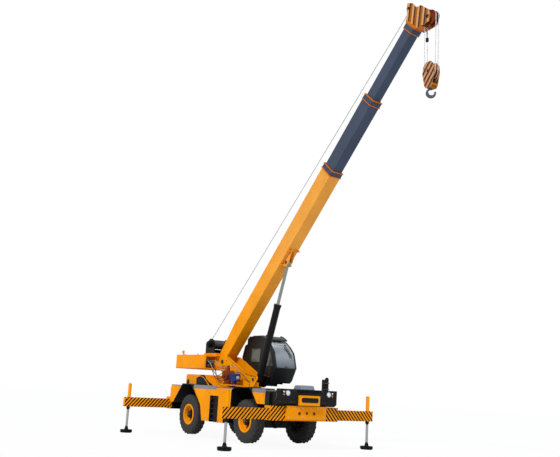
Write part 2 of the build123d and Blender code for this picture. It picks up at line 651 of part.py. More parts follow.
def cab_windows():
    """The spaces cut for the windows: windscreen, the two on the right, rear."""
    right = (CAB_Y[0] - 50, CAB_Y[0] + 100)
    (back, nose), (inner, outer) = CAB_X, CAB_Y
    low, high = SCREEN_Z
    front = front_plate(((inner + 45, low), (outer - 50, low), (outer - 55, high - 450), (outer - 105, high - 150),
                         (outer - 175, high), (inner + 45, high)), (nose - 480, nose + 100))
    low, high = CORNER_Z
    corner = side_plate(((nose - 765, low), (nose - 765, high), (nose - 465, high), (nose - 285, high - 210),
                         (nose - 185, low)), right)
    side = box((back + 280, back + 840), right, SIDE_Z)
    rear = box((back - 50, back + 100), (inner + 100, outer - 185), REAR_Z)
    return [front, corner, side, rear]


def door_opening(edge):
    """The doorway in the cab's left wall, smaller than the door by an edge all round."""
    return box((DOOR_X[0] + edge, DOOR_X[1] - edge), (CAB_Y[1] - 170, CAB_Y[1] + 60), (DOOR_Z[0] + edge, DOOR_Z[1] - edge))


def cab_shell():
    shell = cab_body(0) - cab_body(CAB_WALL)
    for window in cab_windows():
        shell -= window
    shell -= door_opening(30)
    edge = CAB_X[1] - 620
    visor = ((edge - 90, CAB_Z[1] - 45), (edge + 20, CAB_Z[1] - 55), (edge + 235, CAB_Z[1] - 130), (edge + 240, CAB_Z[1] - 115),
             (edge + 30, CAB_Z[1] - 20), (edge - 90, CAB_Z[1] + 5))
    return shell + side_plate(visor, (CAB_Y[0] + 40, CAB_Y[1] - 230))


def cab_glass():
    sheet = cab_body(12) - cab_body(20)
    return [sheet & window for window in cab_windows()]


DOOR_WINDOW = ((DOOR_X[0] + 90, 2640.0), (DOOR_X[0] + 90, 3240.0), (DOOR_X[1] - 120, 3240.0), (DOOR_X[1] - 70, 2640.0))


def cab_door():
    """A sliding door outside the left wall, with the runners that ride along the wall."""
    panel = cab_body(-DOOR_GAP - DOOR_WALL) - cab_body(-DOOR_GAP)
    panel = panel & box(DOOR_X, (CAB_Y[0] + 500, CAB_Y[1] + 100), DOOR_Z)
    panel -= side_plate(DOOR_WINDOW, (CAB_Y[0] + 500, CAB_Y[1] + 100))
    runner_y = (CAB_Y[1] + SLIP, CAB_Y[1] + DOOR_GAP)
    return panel + box(DOOR_X, runner_y, (DOOR_Z[0], DOOR_Z[0] + 25))


def door_glass():
    sheet = cab_body(-DOOR_GAP - 18) - cab_body(-DOOR_GAP - 10)
    return sheet & side_plate(DOOR_WINDOW, (CAB_Y[0] + 500, CAB_Y[1] + 100))


def cab_seat():
    floor = CAB_Z[0] + CAB_WALL
    seat = box((-200, 180), (560, 900), (floor, floor + 260))
    seat += box((-260, 240), (500, 960), (floor + 260, floor + 400))
    seat += side_plate(((-260, floor + 400), (-120, floor + 400), (-210, floor + 1000), (-330, floor + 1000)), (510, 950))
    return seat


def cab_console():
    floor = CAB_Z[0] + CAB_WALL
    desk = box((720, 860), (520, 960), (floor, floor + 420))
    return desk + bar((760, 740, floor + 420), (690, 740, floor + 640), 30)


# ---------------------------------------------------------------- boom

BOOM = Pos(PIVOT[0], 0, PIVOT[1]) * Rot(0, -ELEVATION, 0)


def boom_point(s, n):
    """A point of the raised boom, as x and z."""
    angle = radians(ELEVATION)
    return PIVOT[0] + s * cos(angle) - n * sin(angle), PIVOT[1] + s * sin(angle) + n * cos(angle)


def boom_box(s, width, height, middle_n=BOOM_AXIS_N):
    return box(s, (-width / 2, width / 2), (middle_n - height / 2, middle_n + height / 2))


def boom_tube(name):
    start, end, width, height, wall = SECTIONS[name]
    tube = boom_box((start, end), width, height)
    return tube - boom_box((start, end), width - 2 * wall, height - 2 * wall)


def collar(name, inner_name):
    """The heavy frame round a section's mouth, with pads that guide the next section."""
    start, end, width, height, wall = SECTIONS[name]
    inner_start, inner_end, inner_width, inner_height, inner_wall = SECTIONS[inner_name]
    s = (end, end + COLLAR_LENGTH)
    ring = boom_box(s, width + 2 * WEB_PROUD, height + 2 * WEB_PROUD)
    for start in (s[0], s[1] - RIM_LENGTH):
        ring += boom_box((start, start + RIM_LENGTH), width + 2 * RIM_PROUD, height + 2 * RIM_PROUD)
    ring -= boom_box(s, inner_width + 16, inner_height + 16)
    pads = (s[0] + 20, s[1] - 20)
    half_width, half_height = inner_width / 2, inner_height / 2
    for side in (-1, 1):
        ring += box(pads, sorted((side * (half_width + SLIP), side * (half_width + 8))), (BOOM_AXIS_N - 100, BOOM_AXIS_N + 100))
        ring += box(pads, (-100, 100), sorted((BOOM_AXIS_N + side * (half_height + SLIP), BOOM_AXIS_N + side * (half_height + 8))))
    return ring


def boom_base():
    start, end, width, height, wall = SECTIONS["boom_base"]
    base = boom_tube("boom_base") + collar("boom_base", "boom_section_2")
    for side in (-1, 1):
        boss = sorted((side * (width / 2 - 60), side * width / 2))
        base += cross_bar(0, 0, boss, 90)
    back = BOOM_AXIS_N + height / 2
    foot = ((start - 1, back - FOOT_TAPER[1]), (start + 250, back - FOOT_TAPER[1] + 10), (start + FOOT_TAPER[0], back),
            (start + FOOT_TAPER[0], back + 1), (start - 1, back + 1))
    base -= side_plate(foot, (-width, width))
    lid = ((start, back - FOOT_TAPER[1] - wall), (start, back - FOOT_TAPER[1]), (start + 250, back - FOOT_TAPER[1] + 10),
           (start + FOOT_TAPER[0], back), (start + FOOT_TAPER[0], back - wall), (start + 252, back - FOOT_TAPER[1] - wall + 10))
    base += side_plate(lid, (-width / 2 + 1, width / 2 - 1))
    base -= cross_bar(0, 0, (-300, 300), PIVOT_PIN_R + FIT)
    flange = BOOM_AXIS_N - height / 2
    s, n = LIFT_LUG
    for side in (-1, 1):
        ear_y = sorted((side * LIFT_LUG_Y[0], side * LIFT_LUG_Y[1]))
        ear = side_plate(((s - 190, flange), (s - 110, n - 90), (s + 110, n - 90), (s + 560, flange)), ear_y)
        base += ear
    base += cross_bar(s, n, (-LIFT_LUG_Y[1] - 12, LIFT_LUG_Y[1] + 12), LIFT_PIN_R)
    return BOOM * base


def boom_section_2():
    return BOOM * (boom_tube("boom_section_2") + collar("boom_section_2", "boom_section_3"))


def boom_section_3():
    return BOOM * boom_tube("boom_section_3")


def boom_head():
    """Two plates at the boom's tip that carry the sheaves: low in front for the hook, high behind for the line."""
    start, end, width, height, wall = SECTIONS["boom_section_3"]
    s0 = HEAD_START
    head = boom_box((s0 - 190, s0), width + 2 * RIM_PROUD, height + 2 * RIM_PROUD)
    head -= boom_box((s0 - 191, s0), width, height)
    head += boom_box((s0, s0 + 25), 2 * HEAD_PLATE_Y[1], height + 2 * RIM_PROUD)
    for plate in pair(side_plate(HEAD_PLATE, HEAD_PLATE_Y)):
        head += plate
    inside = (-HEAD_PLATE_Y[0], HEAD_PLATE_Y[0])
    nose = (FRONT_SHEAVES[0] - SHEAVE_R - 60, FRONT_SHEAVES[1])
    head += side_plate(((s0 + 25, -40), (s0 + 25, 0), (nose[0] - 40, nose[1] + 40), (nose[0] - 20, nose[1] + 5)), inside)
    head += cross_bar(13900, 220, inside, 30)
    reach = HEAD_PLATE_Y[1] + 20
    head += cross_bar(*FRONT_SHEAVES, (-reach, reach), 35)
    head += cross_bar(*REAR_SHEAVE, (-reach, reach), 30)
    return BOOM * head


def grooved(x, z, y, radius, bore):
    """A sheave about Y, thinned between its rim and hub, with a rope groove."""
    half = SHEAVE_HALF_WIDTH
    side = ((bore, half + 8), (bore + 45, half + 8), (bore + 55, 9), (radius - 55, 9), (radius - 40, half), (radius, half),
            (radius - GROOVE, 8))
    outline = list(side) + [(r, -w) for r, w in reversed(side)]
    disc = revolve(Plane.XY * make_face(Polyline(*outline, close=True)), Axis.Y)
    return Pos(x, y, z) * disc


def hoist_sheaves():
    """The head's lower sheaves, which the hook block hangs from."""
    return [BOOM * grooved(*FRONT_SHEAVES, y, SHEAVE_R, 35 + FIT) for y in SHEAVE_Y]


def line_sheave():
    """The sheave at the head's top that the line from the winch runs over."""
    return BOOM * grooved(*REAR_SHEAVE, 0, LINE_SHEAVE_R, 30)


# ---------------------------------------------------------------- lift cylinder

def lift_line():
    """The cylinder's pins and angle: its foot on the turntable, its eye under the boom."""
    top = boom_point(*LIFT_LUG)
    run = (top[0] - LIFT_BASE[0], top[1] - LIFT_BASE[1])
    return hypot(*run), degrees(atan2(run[1], run[0]))


def along_lift(shape):
    """Place a piece drawn along +X from the cylinder's foot pin."""
    return Pos(LIFT_BASE[0], 0, LIFT_BASE[1]) * Rot(0, -lift_line()[1], 0) * shape


def lift_barrel():
    tube = bar((60, 0, 0), (BARREL_LENGTH, 0, 0), BARREL_R) - bar((110, 0, 0), (BARREL_LENGTH + 1, 0, 0), BARREL_BORE)
    tube += bar((BARREL_LENGTH - 90, 0, 0), (BARREL_LENGTH, 0, 0), BARREL_R + 14) - bar(
        (BARREL_LENGTH - 91, 0, 0), (BARREL_LENGTH + 1, 0, 0), ROD_R + FIT)
    tube += cross_bar(0, 0, (-90, 90), EYE_R)
    tube += cross_bar(0, 0, (-PLATE_Y[0] + 6, PLATE_Y[0] - 6), LIFT_PIN_R)
    return along_lift(tube)


def lift_rod():
    length = lift_line()[0]
    rod = bar((length - ROD_LENGTH, 0, 0), (length, 0, 0), ROD_R)
    rod += cross_bar(length, 0, (-EYE_HALF_WIDTH, EYE_HALF_WIDTH), EYE_R - 10)
    rod -= cross_bar(length, 0, (-EYE_HALF_WIDTH - 1, EYE_HALF_WIDTH + 1), LIFT_PIN_R + FIT)
    return along_lift(rod)


# ---------------------------------------------------------------- hook block

BLOCK_AXLE_DROP = 290.0      # the block's sheave axle, below its top


def hook_block():
    """Cheek plates over two sheaves, with the hook's crosshead between them below."""
    x, (low, high) = boom_point(*FRONT_SHEAVES)[0], BLOCK_Z
    cheek = ((x - 90, high), (x + 90, high), (x + 200, high - 130), (x + 225, high - 330), (x + 150, low + 90), (x + 100, low),
             (x - 100, low), (x - 150, low + 90), (x - 225, high - 330), (x - 200, high - 130))
    plates = side_plate(cheek, BLOCK_PLATE_Y)
    block = plates + mirrored(plates)
    outside = BLOCK_PLATE_Y[1]
    inside = (-BLOCK_PLATE_Y[0], BLOCK_PLATE_Y[0])
    block += box((x - 80, x + 80), inside, (low, low + CROSSHEAD))
    for side in (-1, 1):
        block += box(sorted((x + side * 105, x + side * 150)), inside, (low + 60, low + 110))
    axle_z = high - BLOCK_AXLE_DROP
    block += cross_bar(x, axle_z, (-outside - 18, outside + 18), 30)
    for y in SHEAVE_Y:
        block += grooved(x, axle_z, y, SHEAVE_R - 10, 29)
    return block - bar((x, 0, low - 1), (x, 0, low + CROSSHEAD + 1), SHANK_R + FIT)


def hook():
    """A forged crane hook, thickest under its bowl, with its threaded shank and nut above."""
    x, low = boom_point(*FRONT_SHEAVES)[0], BLOCK_Z[0]
    centre = HOOK_BOTTOM + HOOK_R
    forging = cross_bar(x, centre, (-HOOK_HALF_WIDTH, HOOK_HALF_WIDTH), HOOK_R)
    forging -= cross_bar(x + 8, centre + 18, (-60, 60), BOWL_R)
    forging -= box((x + 30, x + 200), (-60, 60), (centre + 45, centre + 200))
    forging = fillet(forging.edges(), 12)
    forging = Pos(x, 0, 0) * Rot(0, 0, HOOK_TURN) * Pos(-x, 0, 0) * forging
    shank = bar((x, 0, centre + 118), (x, 0, low + CROSSHEAD + 40), SHANK_R)
    nut = bar((x, 0, low + CROSSHEAD + SLIP), (x, 0, low + CROSSHEAD + 50), 62)
    return forging + shank + nut


# ---------------------------------------------------------------- nodes

os.makedirs("parts", exist_ok=True)

save("chassis_frame", chassis_frame())
save("slew_ring", slew_ring())
save("outrigger_boxes", outrigger_box("front"), outrigger_box("rear"))
save("fenders", *pair(fender("front")), *pair(fender("rear")))
save("side_panels", *pair(side_panel()))
save("corner_panels", *[piece for panel in corner_panels() for piece in pair(panel)])
save("ladders", *pair(ladder()))
save("deck_plates", deck_plates())
save("engine_hood", engine_hood())
save("hood_grilles", *hood_grilles())
save("engine_block", engine_block())
save("lamp_housings", *pair(lamp_housing()))
save("headlamps", *pair(headlamp()))
save("front_plate", front_plate_frame())
save("intake_stack", intake_stack())
save("axles", axle(1), axle(-1))
for end, end_sign in ENDS:
    for side, sign in SIDES:
        save(f"outrigger_beam_{end}_{side}", outrigger_beam(end, side, sign))
        save(f"jack_{end}_{side}", jack(end, side, sign))
        save(f"knuckle_{end}_{side}", knuckle(end_sign, sign))
        save(f"wheel_{end}_{side}", at_wheel(end_sign, sign, wheel()))
        save(f"tyre_{end}_{side}", at_wheel(end_sign, sign, tyre()))
save("turntable_frame", turntable_frame())
save("counterweight", counterweight())
save("valve_block", valve_block())
save("beacon", beacon())
save("winch_frame", winch_frame())
save("winch_drum", winch_drum())
save("slew_gearbox", slew_gearbox())
save("slew_brake", slew_brake())
save("cab_shell", cab_shell())
save("cab_glass", *cab_glass())
save("cab_door", cab_door())
save("door_glass", door_glass())
save("cab_interior", cab_seat(), cab_console())
save("boom_base", boom_base())
save("boom_section_2", boom_section_2())
save("boom_section_3", boom_section_3())
save("boom_head", boom_head())
save("hoist_sheaves", *hoist_sheaves())
save("line_sheave", line_sheave())
save("lift_barrel", lift_barrel())
save("lift_rod", lift_rod())
save("hook_block", hook_block())
save("hook", hook())
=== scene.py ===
"""Looks of the mobile crane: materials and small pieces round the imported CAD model, in metres."""
import math
from functools import partialmethod

import bmesh
import bpy
from mathutils import Matrix, Vector


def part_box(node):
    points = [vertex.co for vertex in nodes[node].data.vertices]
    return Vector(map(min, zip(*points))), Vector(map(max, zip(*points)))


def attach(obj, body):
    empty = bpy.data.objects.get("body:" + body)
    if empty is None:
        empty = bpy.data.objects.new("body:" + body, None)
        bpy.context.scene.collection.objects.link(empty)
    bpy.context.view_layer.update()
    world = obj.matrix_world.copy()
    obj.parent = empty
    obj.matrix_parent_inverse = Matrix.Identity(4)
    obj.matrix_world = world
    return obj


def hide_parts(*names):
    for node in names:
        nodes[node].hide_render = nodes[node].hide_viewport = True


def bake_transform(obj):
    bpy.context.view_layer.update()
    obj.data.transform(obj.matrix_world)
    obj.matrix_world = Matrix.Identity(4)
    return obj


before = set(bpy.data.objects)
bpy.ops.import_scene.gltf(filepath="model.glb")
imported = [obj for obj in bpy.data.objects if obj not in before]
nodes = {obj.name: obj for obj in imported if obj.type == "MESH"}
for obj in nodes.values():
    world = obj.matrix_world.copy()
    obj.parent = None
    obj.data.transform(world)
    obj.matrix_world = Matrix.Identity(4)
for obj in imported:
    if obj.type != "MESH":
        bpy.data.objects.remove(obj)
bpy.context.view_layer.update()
scene = bpy.context.scene


# ---------------------------------------------------------------- the machine's own places

MIDDLE = 2.4123694      # machine x of the frame's origin
ELEVATION = math.radians(46.43)
PIVOT = Vector((-1.28 - MIDDLE, 0, 2.66))
ALONG = Vector((math.cos(ELEVATION), 0, math.sin(ELEVATION)))
OUT = Vector((-math.sin(ELEVATION), 0, math.cos(ELEVATION)))
UP = Vector((0, 0, 1))
HOUSE = "superstructure"      # the body that slews
SIDES = (("right", -1), ("left", 1))
ENDS = (("front", 1), ("rear", -1))
WHEEL_X, WHEEL_Y, WHEEL_Z = 1.805, 1.038, 0.761      # a wheel's centre
BODY_Y = 1.220          # outer face of the side panels
JACK_Y = 2.834          # a jack's axis
LAMP_X = 3.488          # face of the lamp housings
PLATE_Y = 0.250         # outer face of the turntable's side plates
SEAL_Y = 0.297          # the right side's window seals


def at(x, y, z):
    """A point given with x from the middle of the wheelbase."""
    return Vector((x - MIDDLE, y, z))


def row(y, places):
    """Points with one y, each place given as (x, z)."""
    return [at(x, y, z) for x, z in places]


def boom(s, y, n):
    """A point of the raised boom."""
    return PIVOT + ALONG * s + OUT * n + Vector((0, y, 0))


# ---------------------------------------------------------------- material kit

class Shader:
    """A node material with short calls for the nodes used here."""

    def __init__(self, name):
        self.material = bpy.data.materials.new(name)
        self.material.use_nodes = True
        self.tree = self.material.node_tree
        self.tree.nodes.clear()
        self.out = self.tree.nodes.new("ShaderNodeOutputMaterial")
        self.bsdf = self.tree.nodes.new("ShaderNodeBsdfPrincipled")
        self.tree.links.new(self.bsdf.outputs[0], self.out.inputs[0])
        self.place = self.add("ShaderNodeTexCoord").outputs["Object"]

    def add(self, kind, **settings):
        node = self.tree.nodes.new(kind)
        for key, value in settings.items():
            setattr(node, key, value)
        return node

    def feed(self, socket, value):
        if isinstance(value, bpy.types.NodeSocket):
            self.tree.links.new(value, socket)
        else:
            socket.default_value = value

    def set(self, **values):
        for key, value in values.items():
            self.feed(self.bsdf.inputs[key.replace("_", " ")], value)

    def math(self, operation, a, b=0.0, c=0.0, clamp=False):
        node = self.add("ShaderNodeMath", operation=operation, use_clamp=clamp)
        for socket, value in zip(node.inputs, (a, b, c)):
            self.feed(socket, value)
        return node.outputs[0]

    plus = partialmethod(math, "ADD")
    minus = partialmethod(math, "SUBTRACT")
    times = partialmethod(math, "MULTIPLY")
    above = partialmethod(math, "GREATER_THAN")
    below = partialmethod(math, "LESS_THAN")
    either = partialmethod(math, "MAXIMUM")
    size = partialmethod(math, "ABSOLUTE")

    def vector(self, operation, a, b=(0, 0, 0)):
        node = self.add("ShaderNodeVectorMath", operation=operation)
        self.feed(node.inputs[0], a)
        self.feed(node.inputs[1], b)
        return node.outputs["Value" if operation in ("DOT_PRODUCT", "LENGTH", "DISTANCE") else "Vector"]

    def split(self, vector):
        node = self.add("ShaderNodeSeparateXYZ")
        self.feed(node.inputs[0], vector)
        return node.outputs

    def machine_x(self):
        """x from the middle of the wheelbase."""
        return self.plus(self.split(self.place)[0], MIDDLE)

    def along_boom(self):
        """Distance from the boom's foot pin along the boom."""
        return self.minus(self.vector("DOT_PRODUCT", self.place, tuple(ALONG)), PIVOT.dot(ALONG))

    def facing(self, axis):
        """How far a face looks along an axis, flat over each face."""
        return self.vector("DOT_PRODUCT", self.add("ShaderNodeNewGeometry").outputs["True Normal"], tuple(axis))

    def between(self, value, low, high):
        return self.times(self.above(value, low), self.below(value, high))

    def noise(self, scale, detail=3.0, rough=0.5, at=None):
        node = self.add("ShaderNodeTexNoise")
        self.feed(node.inputs["Vector"], at or self.place)
        node.inputs["Scale"].default_value = scale
        node.inputs["Detail"].default_value = detail
        node.inputs["Roughness"].default_value = rough
        return node.outputs["Fac"]

    def ramp(self, value, low, high, out_low=0.0, out_high=1.0):
        node = self.add("ShaderNodeMapRange", clamp=True)
        for key, number in (("Value", value), ("From Min", low), ("From Max", high), ("To Min", out_low),
            ("To Max", out_high)):
            self.feed(node.inputs[key], number)
        return node.outputs[0]

    def mix(self, factor, a, b, blend="MIX"):
        node = self.add("ShaderNodeMix", data_type="RGBA", blend_type=blend)
        self.feed(node.inputs["Factor"], factor)
        for key, colour in ((6, a), (7, b)):
            self.feed(node.inputs[key], colour)
        return node.outputs[2]

    def bump(self, height, strength=0.1, distance=0.001, normal=None):
        node = self.add("ShaderNodeBump")
        node.inputs["Strength"].default_value = strength
        node.inputs["Distance"].default_value = distance
        self.feed(node.inputs["Height"], height)
        if normal is not None:
            self.feed(node.inputs["Normal"], normal)
        return node.outputs[0]

    def rounded(self, radius=0.006):
        """Normals as if each edge were rounded, and a mask that is 1 on the edges."""
        node = self.add("ShaderNodeBevel", samples=4)
        node.inputs["Radius"].default_value = radius
        flat = self.add("ShaderNodeNewGeometry").outputs["Normal"]
        edge = self.ramp(self.vector("DOT_PRODUCT", node.outputs[0], flat), 0.99, 0.90)
        return node.outputs[0], edge


def rgb(red, green, blue):
    """A colour as written in sRGB, 0 to 255."""
    linear = [c / 12.92 if c <= 0.04045 else ((c + 0.055) / 1.055) ** 2.4
              for c in (v / 255 for v in (red, green, blue))]
    return (*linear, 1.0)


def shade(colour, factor):
    """A darker colour, still opaque."""
    return tuple(c * factor for c in colour[:3]) + (1.0,)


YELLOW = rgb(240, 149, 0)
ORANGE = rgb(206, 108, 16)
GREY = rgb(68, 77, 94)
BLACK = rgb(12, 12, 13)
DUST = rgb(150, 140, 122)


def painted(name, colour, rough=0.42, coat=0.0, dust=0.04, chip=rgb(96, 80, 64), shine=0.06):
    """Sprayed paint: colour drift, orange peel, thin dust and chipped edges. colour may be a function."""
    s = Shader(name)
    base = colour(s) if callable(colour) else colour
    drift = s.ramp(s.noise(1.3, 4), 0.35, 0.7, 0.90, 1.06)
    tone = s.add("ShaderNodeHueSaturation")
    s.feed(tone.inputs["Color"], base)
    s.feed(tone.inputs["Value"], drift)
    normal, edge = s.rounded()
    grime = s.ramp(s.noise(7.0, 6, 0.65), 0.48, 0.75, 0.0, dust)
    low = s.ramp(s.split(s.place)[2], 1.6, 0.4, 0.3, 1.0)
    dusty = s.mix(s.times(grime, low), tone.outputs[0], DUST)
    worn = s.times(edge, s.ramp(s.noise(38.0, 5, 0.7), 0.60, 0.70, 0.0, 0.5))
    s.set(Base_Color=s.mix(worn, dusty, chip), Coat_Weight=coat, Coat_Roughness=0.12, Specular_IOR_Level=shine)
    s.set(Roughness=s.ramp(s.noise(22.0, 4), 0.3, 0.7, rough - 0.05, rough + 0.09))
    s.set(Normal=s.bump(s.noise(420.0, 2), 0.10, 0.0004, normal))
    return s.material


def stripes(near, far, width, lean=0.92, half=None, top=1.275, blank=None):
    """Slanted stripes that rise towards the middle of the machine, on the faces that look along X."""
    def build(s):
        x, y, z = s.split(s.place)
        out = s.size(y)
        run = s.plus(s.times(z, lean), out)
        band = s.math("FRACT", s.math("DIVIDE", run, width * 2))
        mask = s.times(s.above(band, 0.5), s.below(z, top))
        mask = s.times(mask, s.above(s.size(s.facing((1, 0, 0))), 0.7))
        if half:
            mask = s.times(mask, s.above(out, half))
        if blank:
            rear = s.times(s.below(s.machine_x(), 0.0), s.below(out, blank))
            mask = s.either(mask, rear)
        return s.mix(mask, near, far)
    return build


def two_tone(near, far, test):
    """Paint that changes colour where test says so."""
    return lambda s: s.mix(test(s), near, far)


def arch_faces(s):
    """The panels' ends that face a wheel, and their undersides."""
    end = s.above(s.size(s.facing((1, 0, 0))), 0.25)
    below = s.below(s.facing((0, 0, 1)), -0.5)
    near = s.below(s.size(s.machine_x()), 3.0)
    return s.times(s.either(end, below), near)


def left_side(s):
    """The cab's carriers, left of the turntable's side plate."""
    y = s.split(s.place)[1]
    plate = s.times(s.above(y, 0.15), s.above(s.machine_x(), 0.42))
    return s.either(s.above(y, 0.255), plate)


def front_faces(s):
    """The face between the headlamps."""
    return s.times(s.above(s.facing((1, 0, 0)), 0.5), s.above(s.machine_x(), 3.0))


def jack_ends(s):
    """Black floats and balls, and a black collar below the beam."""
    z = s.split(s.place)[2]
    return s.either(s.below(z, 0.235), s.between(z, 0.80, 0.905))


def collared(near, rim, web, start, end):
    """A section's paint, with its mouth's collar in other colours between two places along the boom."""
    def build(s):
        run = s.along_boom()
        inner = s.times(s.between(run, start + 0.0245, end - 0.0245), s.above(s.facing(tuple(-OUT)), -0.9))
        base = near(s) if callable(near) else near
        return s.mix(inner, s.mix(s.between(run, start - 0.001, end + 0.001), base, rim), web)
    return build


def paler_towards_mouth(s):
    """The base section's paint, paler towards its mouth."""
    return s.mix(s.ramp(s.along_boom(), 1.5, 5.5), YELLOW, rgb(234, 160, 66))


def head_stripes(s):
    """Slanted cream, brown and black bands on the outer faces of the head's plates."""
    run = s.along_boom()
    out = s.vector("DOT_PRODUCT", s.place, tuple(OUT))
    step = s.math("FRACT", s.math("DIVIDE", s.plus(s.times(run, -0.75), out), 0.27))
    side = s.above(s.size(s.facing((0, 1, 0))), 0.8)
    side = s.times(side, s.above(run, 13.40))
    cream = s.mix(s.above(step, 0.36), rgb(214, 160, 98), rgb(168, 92, 34))
    banded = s.mix(s.above(step, 0.74), cream, rgb(44, 38, 36))
    base = collared(ORANGE, ORANGE, GREY, 13.14, 13.33)(s)
    return s.mix(side, base, banded)


def block_stripes(s):
    """Slanted cream and dark bands on the block's cheeks, and yellow edges."""
    x, y, z = s.split(s.place)
    step = s.math("FRACT", s.math("DIVIDE", s.minus(z, s.times(x, 1.3)), 0.235))
    side = s.above(s.size(s.facing((0, 1, 0))), 0.8)
    cream = s.mix(s.above(step, 0.42), rgb(206, 150, 104), rgb(150, 86, 52))
    banded = s.mix(s.above(step, 0.66), cream, rgb(52, 44, 42))
    return s.mix(side, rgb(176, 112, 36), banded)


def wheel_paint(s):
    """Yellow rim with a dark hub, and painted shade: the inner barrel and the faces that look in towards the machine
    are painted dark.
    """
    x = s.minus(s.size(s.machine_x()), WHEEL_X)
    y, z = s.split(s.place)[1:]
    up = s.minus(z, WHEEL_Z)
    reach = s.math("SQRT", s.plus(s.times(x, x), s.times(up, up)))
    # the dark hub, and painted shade on the rim's inner barrel (y under 1.0)
    dark = s.either(s.below(reach, 0.165), s.below(s.size(y), 1.0))
    # painted shade on the faces that look in towards the machine
    inward_shade = s.below(s.times(y, s.facing((0, 1, 0))), -0.2)
    dark = s.either(dark, inward_shade)
    return s.mix(dark, YELLOW, rgb(34, 30, 28))


def plated(colour, lift, pitch=0.05):
    """Deck plate with rows of lozenges, and black on the face between the headlamps."""
    def build(s):
        x, y, z = s.split(s.place)
        a = s.math("SINE", s.times(s.plus(x, y), math.pi / pitch))
        b = s.math("SINE", s.times(s.minus(x, y), math.pi / pitch))
        tread = s.above(s.size(s.times(a, b)), 0.8)
        tread = s.times(tread, s.above(s.facing((0, 0, 1)), 0.7))
        return s.mix(front_faces(s), s.mix(tread, colour, lift), BLACK)
    return build


def metal(name, colour, rough=0.35, grain=(1.0, 1.0, 1.0), metallic=1.0, stain=0.3):
    """Bare or machined steel with fine marks along one way and patches of oil."""
    s = Shader(name)
    stretched = s.vector("MULTIPLY", s.place, grain)
    fine = s.noise(160.0, 4, 0.6, stretched)
    patch = s.ramp(s.noise(5.0, 5, 0.6), 0.45, 0.75, 0.0, stain)
    normal, edge = s.rounded(0.004)
    s.set(Base_Color=s.mix(patch, colour, shade(colour, 0.45)), Metallic=metallic)
    s.set(Roughness=s.ramp(fine, 0.3, 0.7, rough - 0.08, rough + 0.12))
    s.set(Normal=s.bump(fine, 0.12, 0.0004, normal))
    return s.material


def rubber(name, colour=rgb(24, 25, 25)):
    """Tyre rubber: dull, dusty in patches, with a fine moulded grain."""
    s = Shader(name)
    patch = s.ramp(s.noise(5.0, 6, 0.65), 0.42, 0.72, 0.0, 0.3)
    normal, edge = s.rounded(0.006)
    dusty = s.mix(patch, colour, rgb(54, 53, 50))
    s.set(Base_Color=s.mix(s.times(edge, 0.35), dusty, rgb(60, 60, 58)))
    s.set(Roughness=s.ramp(s.noise(30.0, 3), 0.3, 0.7, 0.68, 0.88))
    s.set(Normal=s.bump(s.noise(260.0, 3), 0.25, 0.0006, normal))
    return s.material


def plastic(name, colour, rough=0.5):
    s = Shader(name)
    normal, edge = s.rounded(0.004)
    s.set(Base_Color=s.mix(s.ramp(s.noise(6.0, 5), 0.4, 0.75, 0.0, 0.12), colour, DUST))
    s.set(Roughness=s.ramp(s.noise(40.0, 3), 0.3, 0.7, rough - 0.06, rough + 0.1))
    s.set(Normal=s.bump(s.noise(700.0, 2), 0.15, 0.0003, normal))
    return s.material


def glass(name, tint_and_reflection, rough=0.03, alpha=0.35):
    """Tinted safety glass, seen through by alpha. The colour may be a function; for the cab's glass it also paints
    reflection on the windscreen.
    """
    s = Shader(name)
    base = tint_and_reflection(s) if callable(tint_and_reflection) else tint_and_reflection
    veil = s.ramp(s.noise(2.0, 2), 0.4, 0.7, 0.0, 0.1)
    s.set(Base_Color=s.mix(veil, base, rgb(96, 104, 112)), Alpha=alpha, IOR=1.5, Specular_IOR_Level=0.3)
    s.set(Roughness=s.ramp(s.noise(4.0, 3), 0.3, 0.8, rough, rough + 0.04))
    s.material.surface_render_method = "BLENDED"
    return s.material


def screen_tint_and_reflection(s):
    """Painted reflection on the windscreen: darker towards the bottom, where the ground would be mirrored, and pale
    towards the top; dark olive tint on the side windows.
    """
    z = s.split(s.place)[2]
    # painted reflection: the windscreen runs from dark at the bottom to pale at the top
    front = s.mix(s.ramp(z, 2.55, 3.3), rgb(100, 110, 118), rgb(196, 204, 212))
    return s.mix(s.above(s.size(s.facing((0, 1, 0))), 0.8), front, rgb(96, 98, 84))


yellow = painted("yellow_paint", YELLOW)
panel_paint = painted("panel_paint", two_tone(YELLOW, BLACK, arch_faces))
frame_paint = painted("turntable_paint", two_tone(YELLOW, BLACK, left_side))
black = painted("black_paint", BLACK, rough=0.45, dust=0.03, chip=rgb(48, 47, 46), shine=0.15)
cab_black = painted("cab_black", rgb(18, 21, 22), rough=0.4, dust=0.02, chip=rgb(40, 41, 42), shine=0.25)
striped = painted("striped_paint", stripes(YELLOW, BLACK, 0.067, half=0.77, top=1.33, blank=1.12))
beam_striped = painted("beam_stripes", stripes(YELLOW, BLACK, 0.067, top=1.24))
jack_paint = painted("jack_paint", two_tone(rgb(150, 152, 156), BLACK, jack_ends), rough=0.35,
                     chip=rgb(120, 118, 114))
wheel_yellow = painted("wheel_paint", wheel_paint)
base_paint = painted("boom_base_paint", collared(paler_towards_mouth, ORANGE, GREY, 8.13, 8.32))
section_paint = painted("boom_grey", collared(GREY, ORANGE, GREY, 10.72, 10.91), rough=0.4, chip=rgb(90, 92, 98))
head_paint = painted("head_paint", head_stripes)
orange = painted("orange_paint", ORANGE)
deck = painted("deck_plate", plated(rgb(128, 128, 134), rgb(146, 146, 152)), rough=0.5, dust=0.1)
red_iron = painted("red_primer", rgb(120, 56, 30), rough=0.45, dust=0.1)
blue_iron = painted("blue_brake", rgb(40, 50, 104), rough=0.45, dust=0.08)
block_paint = painted("block_paint", block_stripes, rough=0.45, dust=0.06)
hook_iron = metal("hook_iron", rgb(70, 78, 92), 0.45, metallic=0.6, stain=0.4)
